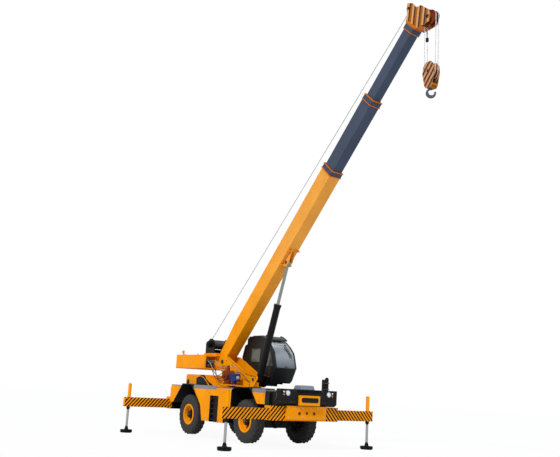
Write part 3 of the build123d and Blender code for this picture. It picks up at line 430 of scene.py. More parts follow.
wire = metal("wire_rope", rgb(196, 200, 206), 0.5, metallic=0.7, stain=0.1)
steel = metal("machined_steel", rgb(176, 178, 182), 0.3)
dark_steel = metal("dark_steel", rgb(84, 84, 86), 0.42, metallic=0.85)
rod_chrome = metal("rod_chrome", rgb(142, 150, 140), 0.18, stain=0.1)
galvanised = metal("galvanised", rgb(168, 172, 176), 0.45, stain=0.3)
cast = metal("cast_iron", rgb(70, 70, 70), 0.55, metallic=0.7)
tyre_rubber = rubber("tyre_rubber")
hose_rubber = plastic("hose_rubber", rgb(34, 34, 36), 0.55)
hose_grey = plastic("hose_sleeve", rgb(128, 124, 118), 0.6)
dark_plastic = plastic("dark_plastic", rgb(28, 28, 30))
# the cab's glass carries a painted reflection on the windscreen
cab_glass = glass("cab_glass", screen_tint_and_reflection, alpha=0.86)
lamp_glass = glass("lamp_glass", rgb(232, 234, 238), alpha=0.9)
amber = glass("amber_lens", rgb(240, 130, 20), alpha=0.92)
edge_orange = painted("tail_edge", rgb(196, 96, 14))

DRESS = ((yellow, ("engine_hood", "front_plate", "counterweight")),
         (panel_paint, ("side_panels", "corner_panels")), (frame_paint, ("turntable_frame",)),
         (black, ("chassis_frame", "fenders", "ladders", "lamp_housings", "intake_stack", "axles", "winch_frame",
                  "valve_block", "lift_barrel", "hood_grilles")), (base_paint, ("boom_base",)),
         (section_paint, ("boom_section_2", "boom_section_3")), (head_paint, ("boom_head",)),
         (striped, ("outrigger_boxes",)), (cab_black, ("cab_shell", "cab_door")), (deck, ("deck_plates",)),
         (red_iron, ("slew_gearbox",)), (blue_iron, ("slew_brake",)), (block_paint, ("hook_block",)),
         (steel, ("line_sheave",)), (black, ("winch_drum",)), (red_iron, ("hoist_sheaves",)),
         (hook_iron, ("hook",)), (rod_chrome, ("lift_rod",)), (cast, ("engine_block", "slew_ring")),
         (dark_plastic, ("cab_interior",)), (cab_glass, ("cab_glass", "door_glass")), (lamp_glass, ("headlamps",)),
         (amber, ("beacon",)))
for material, names in DRESS:
    for name in names:
        nodes[name].data.materials.clear()
        nodes[name].data.materials.append(material)
for name, node in nodes.items():
    for start, material in (("tyre_", tyre_rubber), ("wheel_", wheel_yellow), ("jack_", jack_paint),
        ("knuckle_", black), ("outrigger_beam_", beam_striped)):
        if name.startswith(start):
            node.data.materials.clear()
            node.data.materials.append(material)


# ---------------------------------------------------------------- piece kit

def mesh_object(name, bm, material, body=None):
    bmesh.ops.recalc_face_normals(bm, faces=bm.faces)
    mesh = bpy.data.meshes.new(name)
    bm.to_mesh(mesh)
    bm.free()
    mesh.materials.append(material)
    thing = bpy.data.objects.new(name, mesh)
    scene.collection.objects.link(thing)
    if body:
        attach(thing, body)
    return thing


def soften(thing, width=0.004, segments=2, angle=40):
    bevel = thing.modifiers.new("bevel", "BEVEL")
    bevel.width, bevel.segments = width, segments
    bevel.limit_method = "ANGLE"
    bevel.angle_limit = math.radians(angle)
    bevel.harden_normals = False
    return thing


def smooth(thing, angle=35):
    for face in thing.data.polygons:
        face.use_smooth = True
    sharp = math.radians(angle)
    bm = bmesh.new()
    bm.from_mesh(thing.data)
    for edge in bm.edges:
        edge.smooth = len(edge.link_faces) == 2 and edge.calc_face_angle(0) < sharp
    bm.to_mesh(thing.data)
    bm.free()
    return thing


def circle(count):
    """(cosine, sine) at even steps round a circle."""
    return [(math.cos(a), math.sin(a)) for a in (2 * math.pi * k / count for k in range(count))]


def frame_of(axis):
    axis = Vector(axis).normalized()
    side = axis.cross(Vector((0, 1, 0)) if abs(axis.y) < 0.9 else Vector((1, 0, 0))).normalized()
    return axis, side, axis.cross(side)


def add_ring(bm, centre, axis, radius, sides, turn=0.0):
    axis, u, v = frame_of(axis)
    return [bm.verts.new(Vector(centre) + (u * math.cos(a) + v * math.sin(a)) * radius)
            for a in (turn + 2 * math.pi * k / sides for k in range(sides))]


def skin(bm, low, high):
    """Faces from one ring of points to the next."""
    for k in range(len(low)):
        j = (k + 1) % len(low)
        bm.faces.new((low[k], low[j], high[j], high[k]))


def slab(bm, one, two):
    """A closed body between two outlines of as many points."""
    bm.faces.new(one)
    bm.faces.new(two[::-1])
    for k in range(len(one)):
        j = (k + 1) % len(one)
        bm.faces.new((one[k], two[k], two[j], one[j]))


def add_lathe(bm, centre, axis, profile, sides=24, turn=0.0):
    """A turned shape: profile is (distance along the axis, radius), closed at each end with a radius above 0."""
    axis = Vector(axis).normalized()
    rings = [add_ring(bm, Vector(centre) + axis * d, axis, max(r, 1e-5), sides, turn) for d, r in profile]
    for low, high in zip(rings, rings[1:]):
        skin(bm, low, high)
    bm.faces.new(rings[0][::-1])
    bm.faces.new(rings[-1])


def lathe(name, centre, axis, profile, material, body, sides=28):
    bm = bmesh.new()
    add_lathe(bm, centre, axis, profile, sides)
    return smooth(mesh_object(name, bm, material, body))


def add_loop(bm, centre, axis, profile, sides):
    """A turned ring: the profile of (distance, radius) closes on itself."""
    axis = Vector(axis).normalized()
    rings = [add_ring(bm, Vector(centre) + axis * d, axis, r, sides) for d, r in profile]
    for low, high in zip(rings, rings[1:] + rings[:1]):
        skin(bm, low, high)


def collar(name, centre, axis, profile, material, body, sides=24):
    """A turned ring that stays open in the middle."""
    bm = bmesh.new()
    add_loop(bm, centre, axis, profile, sides)
    return smooth(mesh_object(name, bm, material, body))


def bolts(name, places, axis, radius, height, body, material=None):
    """Hexagon heads on washers, at each place, in dark steel unless material says otherwise."""
    bm = bmesh.new()
    for place in places:
        add_lathe(bm, place, axis,
                  ((0, radius * 1.25), (height * 0.2, radius * 1.25), (height * 0.21, radius * 1.2)), 16)
        add_lathe(bm, Vector(place) + Vector(axis).normalized() * height * 0.2, axis,
                  ((0, radius), (height * 0.72, radius), (height * 0.8, radius * 0.86)), 6)
    return mesh_object(name, bm, material or dark_steel, body)


def add_box(bm, low, high, turn=None):
    corners = [Vector((x, y, z)) for x in (low[0], high[0]) for y in (low[1], high[1]) for z in (low[2], high[2])]
    if turn:
        corners = [turn @ c for c in corners]
    v = [bm.verts.new(c) for c in corners]
    for face in ((0, 1, 3, 2), (4, 6, 7, 5), (0, 4, 5, 1), (2, 3, 7, 6), (0, 2, 6, 4), (1, 5, 7, 3)):
        bm.faces.new([v[k] for k in face])


def boxes_piece(name, spans, material, body, width=0.004, turn=None):
    bm = bmesh.new()
    for low, high in spans:
        add_box(bm, low, high, turn)
    return soften(mesh_object(name, bm, material, body), width)


def side_box(sign, x, y, z):
    """The corners of a box on one side: spans of x, of distance from the middle, and of z."""
    low, high = sorted((sign * y[0], sign * y[1]))
    return at(x[0], low, z[0]), at(x[1], high, z[1])


def prism(name, outline, y, material, body, width=0.004, place=at):
    """A plate with its outline in x and z (or along and out of the boom), between two y."""
    bm = bmesh.new()
    slab(bm, *[[bm.verts.new(place(a, side, b)) for a, b in outline] for side in y])
    return soften(mesh_object(name, bm, material, body), width)


def tube(name, points, radius, material, body=None, sides=12, order=3, straight=False):
    """A hose or bar along a smooth line through the control points, as a closed mesh."""
    curve = bpy.data.curves.new(name, "CURVE")
    curve.dimensions = "3D"
    spline = curve.splines.new("POLY" if straight else "NURBS")
    spline.points.add(len(points) - 1)
    for target, point in zip(spline.points, points):
        target.co = (*point, 1.0)
    if not straight:
        spline.order_u = order
        spline.use_endpoint_u = True
        spline.resolution_u = 8
    curve.bevel_depth = radius
    curve.bevel_resolution = max(1, sides // 4 - 1)
    curve.use_fill_caps = True
    drawn = bpy.data.objects.new(name + ".line", curve)
    scene.collection.objects.link(drawn)
    bpy.context.view_layer.update()
    mesh = bpy.data.meshes.new_from_object(drawn.evaluated_get(bpy.context.evaluated_depsgraph_get()))
    bpy.data.objects.remove(drawn)
    mesh.name = name
    mesh.materials.clear()
    mesh.materials.append(material)
    thing = bpy.data.objects.new(name, mesh)
    scene.collection.objects.link(thing)
    for face in mesh.polygons:
        face.use_smooth = True
    if body:
        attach(thing, body)
    return thing


def rope(name, points, radius, lay=0.12, strands=6, steps_per_lay=8):
    """A wire rope along straight runs: strands twisted round a core. Returns the object, with no parent yet."""
    bm = bmesh.new()
    sides = strands * 2
    rings = []
    done = 0.0
    places = []
    for start, end in zip(points, points[1:]):
        run = (Vector(end) - Vector(start)).length
        count = max(2, int(run / lay * steps_per_lay))
        for k in range(count + (end is points[-1])):
            places.append((Vector(start).lerp(Vector(end), k / count), done + run * k / count))
        done += run
    for k, (place, run) in enumerate(places):
        ahead = places[min(k + 1, len(places) - 1)][0] - places[max(k - 1, 0)][0]
        axis, u, v = frame_of(ahead)
        twist = 2 * math.pi * run / lay
        ring = []
        for side in range(sides):
            a = twist + 2 * math.pi * side / sides
            reach = radius * (1.0 if side % 2 == 0 else 0.78)
            ring.append(bm.verts.new(place + (u * math.cos(a) + v * math.sin(a)) * reach))
        rings.append(ring)
    for low, high in zip(rings, rings[1:]):
        skin(bm, low, high)
    bm.faces.new(rings[0][::-1])
    bm.faces.new(rings[-1])
    thing = mesh_object(name, bm, wire)
    for face in thing.data.polygons:
        face.use_smooth = True
    return thing


# ---------------------------------------------------------------- wheels and tyres

WALL = ((0.318, 0.149), (0.356, 0.149), (0.368, 0.162), (0.392, 0.172), (0.400, 0.178), (0.412, 0.177),
        (0.45, 0.184), (0.50, 0.187), (0.56, 0.183), (0.566, 0.186), (0.578, 0.185), (0.584, 0.180), (0.62, 0.172),
        (0.650, 0.158), (0.664, 0.13), (0.668, 0.0))
LUG = ((0.004, 0.654, 0.683, 0.0, 0.027), (0.06, 0.654, 0.684, 0.04, 0.029), (0.115, 0.650, 0.685, 0.10, 0.033),
       (0.150, 0.640, 0.680, 0.13, 0.037), (0.168, 0.620, 0.660, 0.14, 0.036), (0.180, 0.585, 0.618, 0.145, 0.028))
LUGS = 25


def tyre_tread(name, centre, side):
    """A carcass with slanted lugs that alternate from one shoulder to the other."""
    bm = bmesh.new()
    profile = [(-w, r) for r, w in WALL] + [(w, r) for r, w in WALL[-2::-1]]
    add_loop(bm, centre, (0, 1, 0), profile, 96)
    for k in range(LUGS * 2):
        flip = 1 if k % 2 else -1
        rings = []
        for y, low, high, turn, half in LUG:
            ring = []
            for reach, edge in ((low, -half), (low, half), (high, half * 0.8), (high, -half * 0.8)):
                a = math.pi * k / LUGS + side * turn + edge
                ring.append(bm.verts.new(centre + Vector((math.sin(a) * reach, flip * y, math.cos(a) * reach))))
            rings.append(ring)
        for one, two in zip(rings, rings[1:]):
            skin(bm, one, two)
        bm.faces.new(rings[0])
        bm.faces.new(rings[-1][::-1])
    return smooth(mesh_object(name, bm, tyre_rubber, f"wheel_{name[6:]}"), 30)


for end, end_sign in ENDS:
    for side, sign in SIDES:
        tag, wheel = f"{end}_{side}", f"wheel_{end}_{side}"
        hub = at(end_sign * WHEEL_X, sign * WHEEL_Y, WHEEL_Z)
        out = Vector((0, sign, 0))
        tread = tyre_tread(f"tread_{tag}", hub, end_sign)
        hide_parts(f"tyre_{end}_{side}")
        around = [Vector((c, 0, s)) for c, s in circle(10)]
        bolts(f"nuts_{tag}", [hub + v * 0.188 - out * 0.010 for v in around], out, 0.016, 0.028, wheel)
        bolts(f"cover_bolts_{tag}", [hub + v * 0.109 + out * 0.1475 for v in around[::2]], out, 0.010, 0.012, wheel)
        lathe(f"hub_cap_{tag}", hub + out * 0.163, out, ((0, 0.052), (0.008, 0.052), (0.012, 0.046), (0.014, 0.02)),
              dark_steel, wheel)


# ---------------------------------------------------------------- ropes

HEAD_AXLE = boom(13.829, 0, -0.246)
BLOCK_AXLE = Vector((HEAD_AXLE.x, 0, 10.840))
ROPE_R = 0.013


def fall_loop(y):
    """Up one fall, over a head sheave, down the other, and under the block's sheave."""
    points = []
    for centre, reach, start in ((HEAD_AXLE, 0.2145, 180), (BLOCK_AXLE, 0.2045, 0)):
        for step in range(17):
            a = math.radians(start - 180 * step / 16)
            points.append(centre + Vector((math.cos(a) * reach, y, math.sin(a) * reach)))
    return points + points[:1]


for side, y in (("right", -0.057), ("left", 0.057)):
    falls = rope(f"hoist_rope_{side}", fall_loop(y), ROPE_R)
    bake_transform(falls)

DRUM = at(-2.02, 0, 3.285)
LINE_TOP = boom(13.705, 0, 0.665)
run_up = (LINE_TOP - DRUM).normalized()
lift_off = Vector((-run_up.z, 0, run_up.x))
leave = DRUM + lift_off * 0.180 + Vector((0, -0.27, 0))
arrive = LINE_TOP + lift_off * 0.120
stops = [leave, leave.lerp(arrive, 0.16), leave.lerp(arrive, 0.62), arrive]
for k in range(3):
    piece = rope(f"winch_line_{k + 1}", stops[k:k + 2], ROPE_R)
    ends = [stops[k].lerp(stops[k + 1], share) for share in (0.03, 0.97)]
    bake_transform(piece)
over = [LINE_TOP + (ALONG * math.sin(a) + OUT * math.cos(a)) * 0.120
        for a in (math.radians(d) for d in range(0, 100, 12))]
tip = rope("winch_line_tip",
           [arrive] + over[1:] + [HEAD_AXLE + (ALONG * 0.99 + OUT * 0.14) * 0.216 + Vector((0, -0.03, 0))], ROPE_R)
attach(tip, "boom_section_3")

wraps = []
for k in range(31):
    y = -0.30 + 0.02 * k
    wraps += [(y - 0.0085, 0.160), (y - 0.004, 0.168), (y + 0.004, 0.168), (y + 0.0085, 0.160)]
lathe("drum_rope", DRUM, (0, 1, 0), [(-0.306, 0.152)] + wraps + [(0.306, 0.152)], dark_steel, "winch_drum", 40)
lathe("drum_motor_cap", DRUM + Vector((0, -0.470, 0)), (0, -1, 0),
      ((0, 0.105), (0.015, 0.105), (0.03, 0.07), (0.05, 0.065), (0.06, 0.03)), black, HOUSE)

# the limit switch's chain and weight beside the falls
bm = bmesh.new()
top = at(8.33, -0.115, 12.26)
for k in range(10):
    centre = top + Vector((0.004 * k, 0, -0.030 - 0.036 * k))
    lie = Vector((1, 0, 0)) if k % 2 else Vector((0, 1, 0))
    ends = [centre + Vector((0, 0, z)) for z in (0.014, -0.014)]
    ring = []
    for middle, first in zip(ends, (0, math.pi)):
        bend = [first + math.pi * j / 5 for j in range(6)]
        ring += [middle + (lie * math.cos(a) + UP * math.sin(a)) * 0.011 for a in bend]
    loops = []
    for j, spot in enumerate(ring):
        ahead = (ring[(j + 1) % 12] - ring[j - 1]).normalized()
        wide = lie.cross(UP).normalized()
        thick = ahead.cross(wide)
        loops.append([bm.verts.new(spot + (wide * math.cos(b) + thick * math.sin(b)) * 0.0045)
                      for b in (math.pi * i / 3 for i in range(6))])
    for one, two in zip(loops, loops[1:] + loops[:1]):
        skin(bm, one, two)
mesh_object("limit_chain", bm, dark_steel, "hoist_sheaves")
lathe("limit_weight", top + Vector((0.04, 0, -0.385)), (0, 0, -1),
      ((0, 0.02), (0.012, 0.045), (0.11, 0.045), (0.125, 0.03)), black, "hoist_sheaves")


# ---------------------------------------------------------------- chassis trim

FENDER_EDGES = {
    "front": ((0.960, 1.130), (0.985, 1.700), (1.200, 1.810), (2.040, 1.810), (2.610, 1.130)),
    "rear": ((-2.940, 1.130), (-2.320, 1.810), (-1.685, 1.810), (-1.010, 1.130)),
}
HOOD_STRIP = ((-2.15, 2.160), (-1.80, 2.150), (-1.66, 2.02), (-1.45, 1.915), (-1.25, 1.850), (-1.10, 1.765),
              (-1.36, 1.765), (-1.50, 1.860), (-1.66, 1.970), (-1.86, 2.085), (-2.10, 2.135))
HOOD_RIB = ((-2.38, 2.02), (-2.20, 2.11), (-1.95, 2.11), (-1.68, 1.985), (-1.45, 1.785))
for side, sign in SIDES:
    for end, outline in FENDER_EDGES.items():
        tube(f"fender_bead_{end}_{side}", row(sign * 1.234, outline), 0.011, black, "chassis", straight=True)
    prism(f"hood_strip_{side}", HOOD_STRIP, sorted((sign * 0.652, sign * 0.660)), black, "chassis", 0.002)
    tube(f"hood_rib_{side}", row(sign * 0.661, HOOD_RIB), 0.014, yellow, "chassis")
    slats = []
    for k in range(7):
        x = -2.34 + 0.115 * k
        slats.append(side_box(sign, (x, x + 0.025), (0.648, 0.658), (1.80, 1.975 - 0.03 * abs(k - 2))))
    boxes_piece(f"hood_slats_{side}", slats, dark_plastic, "chassis", 0.003)
    bolts(f"hood_bolts_{side}",
          row(sign * 0.650, ((-3.08, 2.06), (-2.62, 2.10), (-2.62, 1.82), (-1.10, 1.79), (-0.72, 1.745))),
          (0, sign, 0), 0.010, 0.010, "chassis")
    bolts(f"panel_bolts_{side}",
          row(sign * BODY_Y, ((-0.62, 1.62), (-0.62, 0.72), (-0.44, 1.55), (-0.44, 0.68), (0.24, 1.55),
        (0.24, 0.68), (0.50, 1.60), (0.50, 0.70), (-3.62, 1.50), (-3.20, 1.55), (2.78, 1.60), (2.55, 1.42))),
          (0, sign, 0), 0.011, 0.010, "chassis")
    boxes_piece(f"panel_handle_{side}", [side_box(sign, (0.62, 0.76), (BODY_Y, 1.232), (1.40, 1.43))],
                dark_steel, "chassis", 0.004)
    spot = at(3.490, sign * 0.810, 1.710)
    lathe(f"lamp_bezel_{side}", spot + Vector((0.004, 0, 0)), (1, 0, 0),
          ((0, 0.086), (0.014, 0.086), (0.020, 0.081), (0.020, 0.076), (0.006, 0.072)), galvanised, "chassis")
    lathe(f"lamp_bowl_{side}", spot + Vector((0.012, 0, 0)), (1, 0, 0),
          ((0, 0.070), (0.012, 0.066), (0.022, 0.045), (0.027, 0.012)), lamp_glass, "chassis")
    for level, z, lens in (("high", 1.745, lamp_glass), ("low", 1.665, amber)):
        lathe(f"indicator_{level}_{side}", at(LAMP_X, sign * 0.960, z), (1, 0, 0),
              ((0, 0.026), (0.016, 0.024), (0.024, 0.012)), lens, "chassis", 20)
    bolts(f"housing_bolts_{side}",
          [at(LAMP_X, sign * y, z) for y, z in ((0.56, 1.79), (0.56, 1.45), (1.09, 1.45), (0.66, 1.45))],
          (1, 0, 0), 0.012, 0.012, "chassis")
    boxes_piece(f"housing_step_{side}", [side_box(sign, (3.484, 3.500), (0.50, 1.10), (1.520, 1.532))],
                black, "chassis", 0.004)
    tube(f"lamp_hose_{side}",
         [at(3.40, sign * 1.165, 1.70), at(3.44, sign * 1.185, 1.62), at(3.40, sign * 1.19, 1.52),
          at(3.30, sign * 1.165, 1.42)], 0.010, hose_rubber, "chassis")

prism("front_cowl", ((2.98, 1.757), (3.10, 1.955), (3.40, 1.965), (3.47, 1.838), (3.47, 1.757)), (-0.27, 0.27),
      painted("cowl_grey", rgb(122, 130, 138), rough=0.35), "chassis", 0.03)
plate_edge = ((-0.335, 1.480), (-0.295, 1.440), (0.295, 1.440), (0.335, 1.480), (0.335, 1.545), (0.295, 1.590),
              (-0.295, 1.590), (-0.335, 1.545))
bm = bmesh.new()
face_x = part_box("front_plate")[1][0] + MIDDLE
inner = [bm.verts.new(at(face_x + 0.004, y, z)) for y, z in plate_edge]
outer = [bm.verts.new(at(face_x - 0.020, y, z)) for y, z in plate_edge]
slab(bm, inner, outer)
soften(mesh_object("plate_panel", bm, black, "chassis"), 0.004)
boxes_piece("bumper_lip", [(at(3.425, -0.76, 1.300), at(3.452, 0.76, 1.332))], yellow, "chassis", 0.008)
bolts("bumper_bolts", [at(3.440, y, z) for y in (-0.70, -0.42, -0.16, 0.16, 0.42, 0.70) for z in (1.265, 0.985)],
      (1, 0, 0), 0.016, 0.014, "chassis", steel)
for k, y in enumerate((-0.29, 0.29)):
    lathe(f"tow_eye_{k}", at(3.438, y, 1.11), (1, 0, 0),
          ((0, 0.050), (0.010, 0.050), (0.014, 0.044), (0.014, 0.034), (0.003, 0.030)), red_iron, "chassis")
lathe("tow_socket", at(3.438, 0.0, 1.12), (1, 0, 0),
      ((0, 0.042), (0.012, 0.042), (0.016, 0.036), (0.016, 0.022), (0.003, 0.020)), red_iron, "chassis")
boxes_piece("stack_clamps", [(at(3.100, 0.820, z), at(3.306, 0.986, z + 0.025)) for z in (1.86, 2.05)], dark_steel,
            "chassis", 0.005)

# ---------------------------------------------------------------- outriggers

BEAM_MIDDLE = {("front", "right"): 3.270, ("front", "left"): 3.120,
               ("rear", "right"): -3.310, ("rear", "left"): -3.460}
for (end, side), x in BEAM_MIDDLE.items():
    sign = dict(SIDES)[side]
    tag, beam = f"{end}_{side}", f"outrigger_beam_{end}_{side}"
    lathe(f"post_cap_{tag}", at(x, sign * JACK_Y, 1.692), (0, 0, 1),
          ((0, 0.066), (0.012, 0.066), (0.020, 0.058), (0.022, 0.026), (0.036, 0.022), (0.040, 0.008)), yellow,
          beam, 24)
    collar(f"post_seam_{tag}", at(x, sign * JACK_Y, 1.233), (0, 0, 1),
           ((0, 0.0595), (0, 0.074), (0.016, 0.074), (0.022, 0.0615)), yellow, beam)
    collar(f"jack_gland_{tag}", at(x, sign * JACK_Y, 0.9045), (0, 0, -1),
           ((0, 0.045), (0, 0.064), (0.06, 0.064), (0.08, 0.054), (0.08, 0.045)), black, beam)
    bolts(f"beam_bolts_{tag}", [at(x + 0.060, sign * y, z) for y in (2.80, 2.98) for z in (0.99, 1.15)],
          (1, 0, 0), 0.011, 0.010, beam)
    ribs = bmesh.new()
    foot = at(x, sign * JACK_Y, 0)
    for c, s in circle(8):
        v = Vector((c, s, 0))
        w = Vector((-s, c, 0)) * 0.010
        ring = [(0.070, 0.110), (0.190, 0.046), (0.190, 0.030), (0.070, 0.060)]
        lower = [ribs.verts.new(foot + v * r + w + Vector((0, 0, z))) for r, z in ring]
        upper = [ribs.verts.new(foot + v * r - w + Vector((0, 0, z))) for r, z in ring]
        slab(ribs, lower, upper)
    mesh_object(f"float_ribs_{tag}", ribs, black, f"jack_{tag}")

# ---------------------------------------------------------------- superstructure trim

for side, sign in SIDES:
    for name, x, z, r, y in (("foot_pin", -1.28, 2.66, 0.072, 0.262), ("lift_pin", 0.75, 2.08, 0.060, 0.262)):
        lathe(f"{name}_cap_{side}", at(x, sign * y, z), (0, sign, 0),
              ((0, r), (0.012, r), (0.018, r * 0.8), (0.018, r * 0.5), (0.03, r * 0.45)), dark_steel, HOUSE, 24)
    for k, ((x0, z0), (x1, z1)) in enumerate((((-0.915, 2.840), (0.290, 2.290)), ((0.290, 2.290), (0.930, 2.205)))):
        along = Vector((x1 - x0, z1 - z0)).normalized() * 0.004
        drop = (along.y * 4, -along.x * 4)
        outline = ((x0, z0 + 0.002), (x1, z1 + 0.002), (x1 + drop[0], z1 + drop[1]), (x0 + drop[0], z0 + drop[1]))
        prism(f"plate_flange_{k}_{side}", outline, sorted((sign * PLATE_Y, sign * 0.292)), yellow, HOUSE, 0.003)
    bolts(f"plate_bolts_{side}",
          row(sign * PLATE_Y, ((-0.62, 2.52), (0.88, 2.13), (0.62, 2.18), (-1.02, 2.70), (0.55, 1.90),
        (-0.10, 1.90))), (0, sign, 0), 0.018, 0.016, HOUSE)
    for k, x in enumerate((-3.62, -2.62)):
        lathe(f"tail_eye_{k}_{side}", at(x, sign * 0.52, 2.880), (0, 0, 1),
              ((0, 0.034), (0.012, 0.034), (0.016, 0.02), (0.05, 0.016), (0.058, 0.006)), orange, HOUSE, 20)
    boxes_piece(f"tail_skirt_{side}", [side_box(sign, (-3.825, -1.72), (0.744, 0.754), (2.372, 2.392))],
                edge_orange, HOUSE, 0.004)
bolts("ring_bolts", [at(-0.05 + 0.535 * c, 0.535 * s, 1.852) for c, s in circle(28) if abs(0.535 * s) > 0.30],
      (0, 0, 1), 0.013, 0.014, HOUSE)
bolts("gearbox_bolts", [at(-0.42 + 0.148 * c, -0.53 + 0.148 * s, 1.902) for c, s in circle(8)],
      (0, 0, 1), 0.011, 0.012, HOUSE)
lathe("gearbox_cap", at(-0.42, -0.705, 2.18), (0, -1, 0),
      ((0, 0.080), (0.012, 0.080), (0.020, 0.055), (0.032, 0.05), (0.036, 0.02)), red_iron, HOUSE, 28)
lathe("brake_cap", at(0.222, -0.53, 2.10), (1, 0, 0),
      ((0, 0.070), (0.015, 0.070), (0.022, 0.045), (0.05, 0.040), (0.055, 0.01)), galvanised, HOUSE, 28)
HOSES = ((hose_grey, 0.016,
          ((-1.690, -0.600, 2.62), (-1.60, -0.64, 2.66), (-1.42, -0.66, 2.58), (-1.20, -0.66, 2.30),
           (-0.95, -0.62, 2.12), (-0.72, -0.62, 2.24), (-0.545, -0.53, 2.26))),
         (hose_rubber, 0.015,
          ((-1.690, -0.540, 2.62), (-1.58, -0.60, 2.60), (-1.40, -0.62, 2.46), (-1.22, -0.64, 2.18),
           (-0.98, -0.66, 2.02), (-0.74, -0.66, 2.05), (-0.545, -0.56, 2.14))),
         (hose_grey, 0.014, ((-1.690, -0.480, 2.62), (-1.56, -0.50, 2.70), (-1.30, -0.46, 2.66),
    (-1.06, -0.42, 2.40), (-0.80, -0.42, 2.20), (-0.60, -0.46, 2.30), (-0.46, -0.50, 2.44))),
         (hose_rubber, 0.016,
          ((-1.690, -0.420, 2.62), (-1.52, -0.46, 2.58), (-1.30, -0.52, 2.34), (-1.10, -0.54, 2.06),
           (-0.82, -0.58, 1.96), (-0.64, -0.60, 1.98), (-0.53, -0.57, 2.02))),
         (hose_rubber, 0.012,
          ((-1.30, -0.262, 2.44), (-1.10, -0.34, 2.52), (-0.86, -0.40, 2.50), (-0.66, -0.42, 2.32),
           (-0.50, -0.44, 2.20), (-0.47, -0.46, 2.10))),
         (hose_grey, 0.013, ((-0.36, -0.50, 2.46), (-0.22, -0.40, 2.50), (-0.06, -0.33, 2.34), (0.02, -0.36, 2.22),
    (0.04, -0.42, 2.215))),
         (hose_rubber, 0.013,
          ((0.10, -0.53, 2.215), (0.14, -0.52, 2.30), (0.30, -0.42, 2.26), (0.44, -0.31, 2.06),
           (0.56, -0.262, 1.98))))
for k, (material, radius, points) in enumerate(HOSES):
    tube(f"slew_hose_{k}", [at(*point) for point in points], radius, material, HOUSE)
    lathe(f"hose_end_{k}", at(*points[0]), at(*points[1]) - at(*points[0]),
          ((-0.012, radius * 1.5), (0.03, radius * 1.5), (0.036, radius * 1.2), (0.06, radius * 1.15)), galvanised,
          HOUSE, 12)
for k in range(5):
    y = -0.14 + 0.07 * k
    tube(f"trough_hose_{k}",
         [at(-1.00, y, 2.62 + 0.02 * (k % 2)), at(-0.70, y * 0.9, 2.50), at(-0.35, y, 2.30 + 0.04 * (k % 3)),
          at(0.05, y * 1.1, 2.16), at(0.32, y, 2.02)], 0.014, (hose_rubber, red_iron, hose_grey)[k % 3], HOUSE)
for k, y in enumerate((-0.60, -0.54, -0.48, -0.42)):
    bolts(f"valve_caps_{k}", [at(-1.765, y, z) for z in (2.48, 2.54, 2.68)], (1, 0, 0), 0.016, 0.02, HOUSE,
          (galvanised, steel)[k % 2])
boxes_piece("winch_guard", [(at(-2.30, -0.36, z), at(-1.82, -0.352, z + 0.03)) for z in (3.02, 3.10)], black,
            HOUSE, 0.004)
bolts("winch_bolts", [DRUM + Vector((0.10 * c, -0.3565, 0.10 * s)) for c, s in circle(8)], (0, -1, 0),
      0.010, 0.010, HOUSE, steel)

# ---------------------------------------------------------------- cab

cab_trim = plastic("cab_trim", rgb(14, 15, 16), 0.45)
pale_trim = plastic("visor_slats", rgb(112, 118, 124), 0.4)
VISOR = ((0.54, 3.615), (0.66, 3.605), (0.885, 3.500), (0.935, 3.455))
for k, y in enumerate((0.335, 0.955)):
    tube(f"visor_bar_{k}", row(y, VISOR), 0.020, cab_trim, HOUSE)
tube("visor_front", [at(0.935, 0.335, 3.455), at(0.950, 0.42, 3.450), at(0.950, 0.87, 3.450),
                     at(0.935, 0.955, 3.455)], 0.020, cab_trim, HOUSE)
boxes_piece("visor_slats",
            [(at(0.70 + 0.042 * k, 0.345, 3.566 - 0.0185 * k), at(0.722 + 0.042 * k, 0.945, 3.578 - 0.0185 * k))
             for k in range(5)], pale_trim, HOUSE, 0.003)
boxes_piece("roof_hatch", [(at(-0.38, 0.40, 3.588), at(0.20, 0.82, 3.628))], cab_trim, HOUSE, 0.016)
tube("wiper_arm", [at(0.985, 0.86, 3.275), at(1.075, 0.94, 3.10), at(1.165, 1.02, 2.93)], 0.011, cab_trim, HOUSE,
     straight=True)
tube("wiper_blade", [at(1.010, 0.80, 3.23), at(1.105, 0.90, 3.05), at(1.19, 1.00, 2.86)], 0.016, cab_trim, HOUSE,
     straight=True)
lathe("wiper_hub", at(0.975, 0.84, 3.29), (1, 0, 0.3), ((-0.02, 0.03), (0.02, 0.03), (0.03, 0.018)), cab_trim,
      HOUSE, 18)
tube("screen_handle", [at(1.253, 0.70, 2.555), at(1.280, 0.71, 2.560), at(1.280, 0.81, 2.560),
                       at(1.253, 0.82, 2.555)], 0.010, cab_trim, HOUSE)
CORNER_SEAL = ((0.500, 2.560), (0.500, 3.160), (0.800, 3.160), (0.980, 2.950), (1.080, 2.560), (0.500, 2.560))
SIDE_SEAL = ((-0.270, 2.690), (-0.270, 3.160), (0.290, 3.160), (0.290, 2.690), (-0.270, 2.690))
DOOR_SEAL = ((0.010, 2.640), (0.010, 3.240), (0.680, 3.240), (0.730, 2.640), (0.010, 2.640))
for name, y, outline, radius, body in (("corner_seal", SEAL_Y, CORNER_SEAL, 0.011, HOUSE),
                                       ("side_seal", SEAL_Y, SIDE_SEAL, 0.011, HOUSE),
                                       ("door_seal", 1.222, DOOR_SEAL, 0.010, "cab_door")):
    tube(name, row(y, outline), radius, cab_trim, body, straight=True)
boxes_piece("door_handle", [(at(0.04, 1.219, 2.48), at(0.20, 1.245, 2.52))], dark_steel, "cab_door", 0.008)
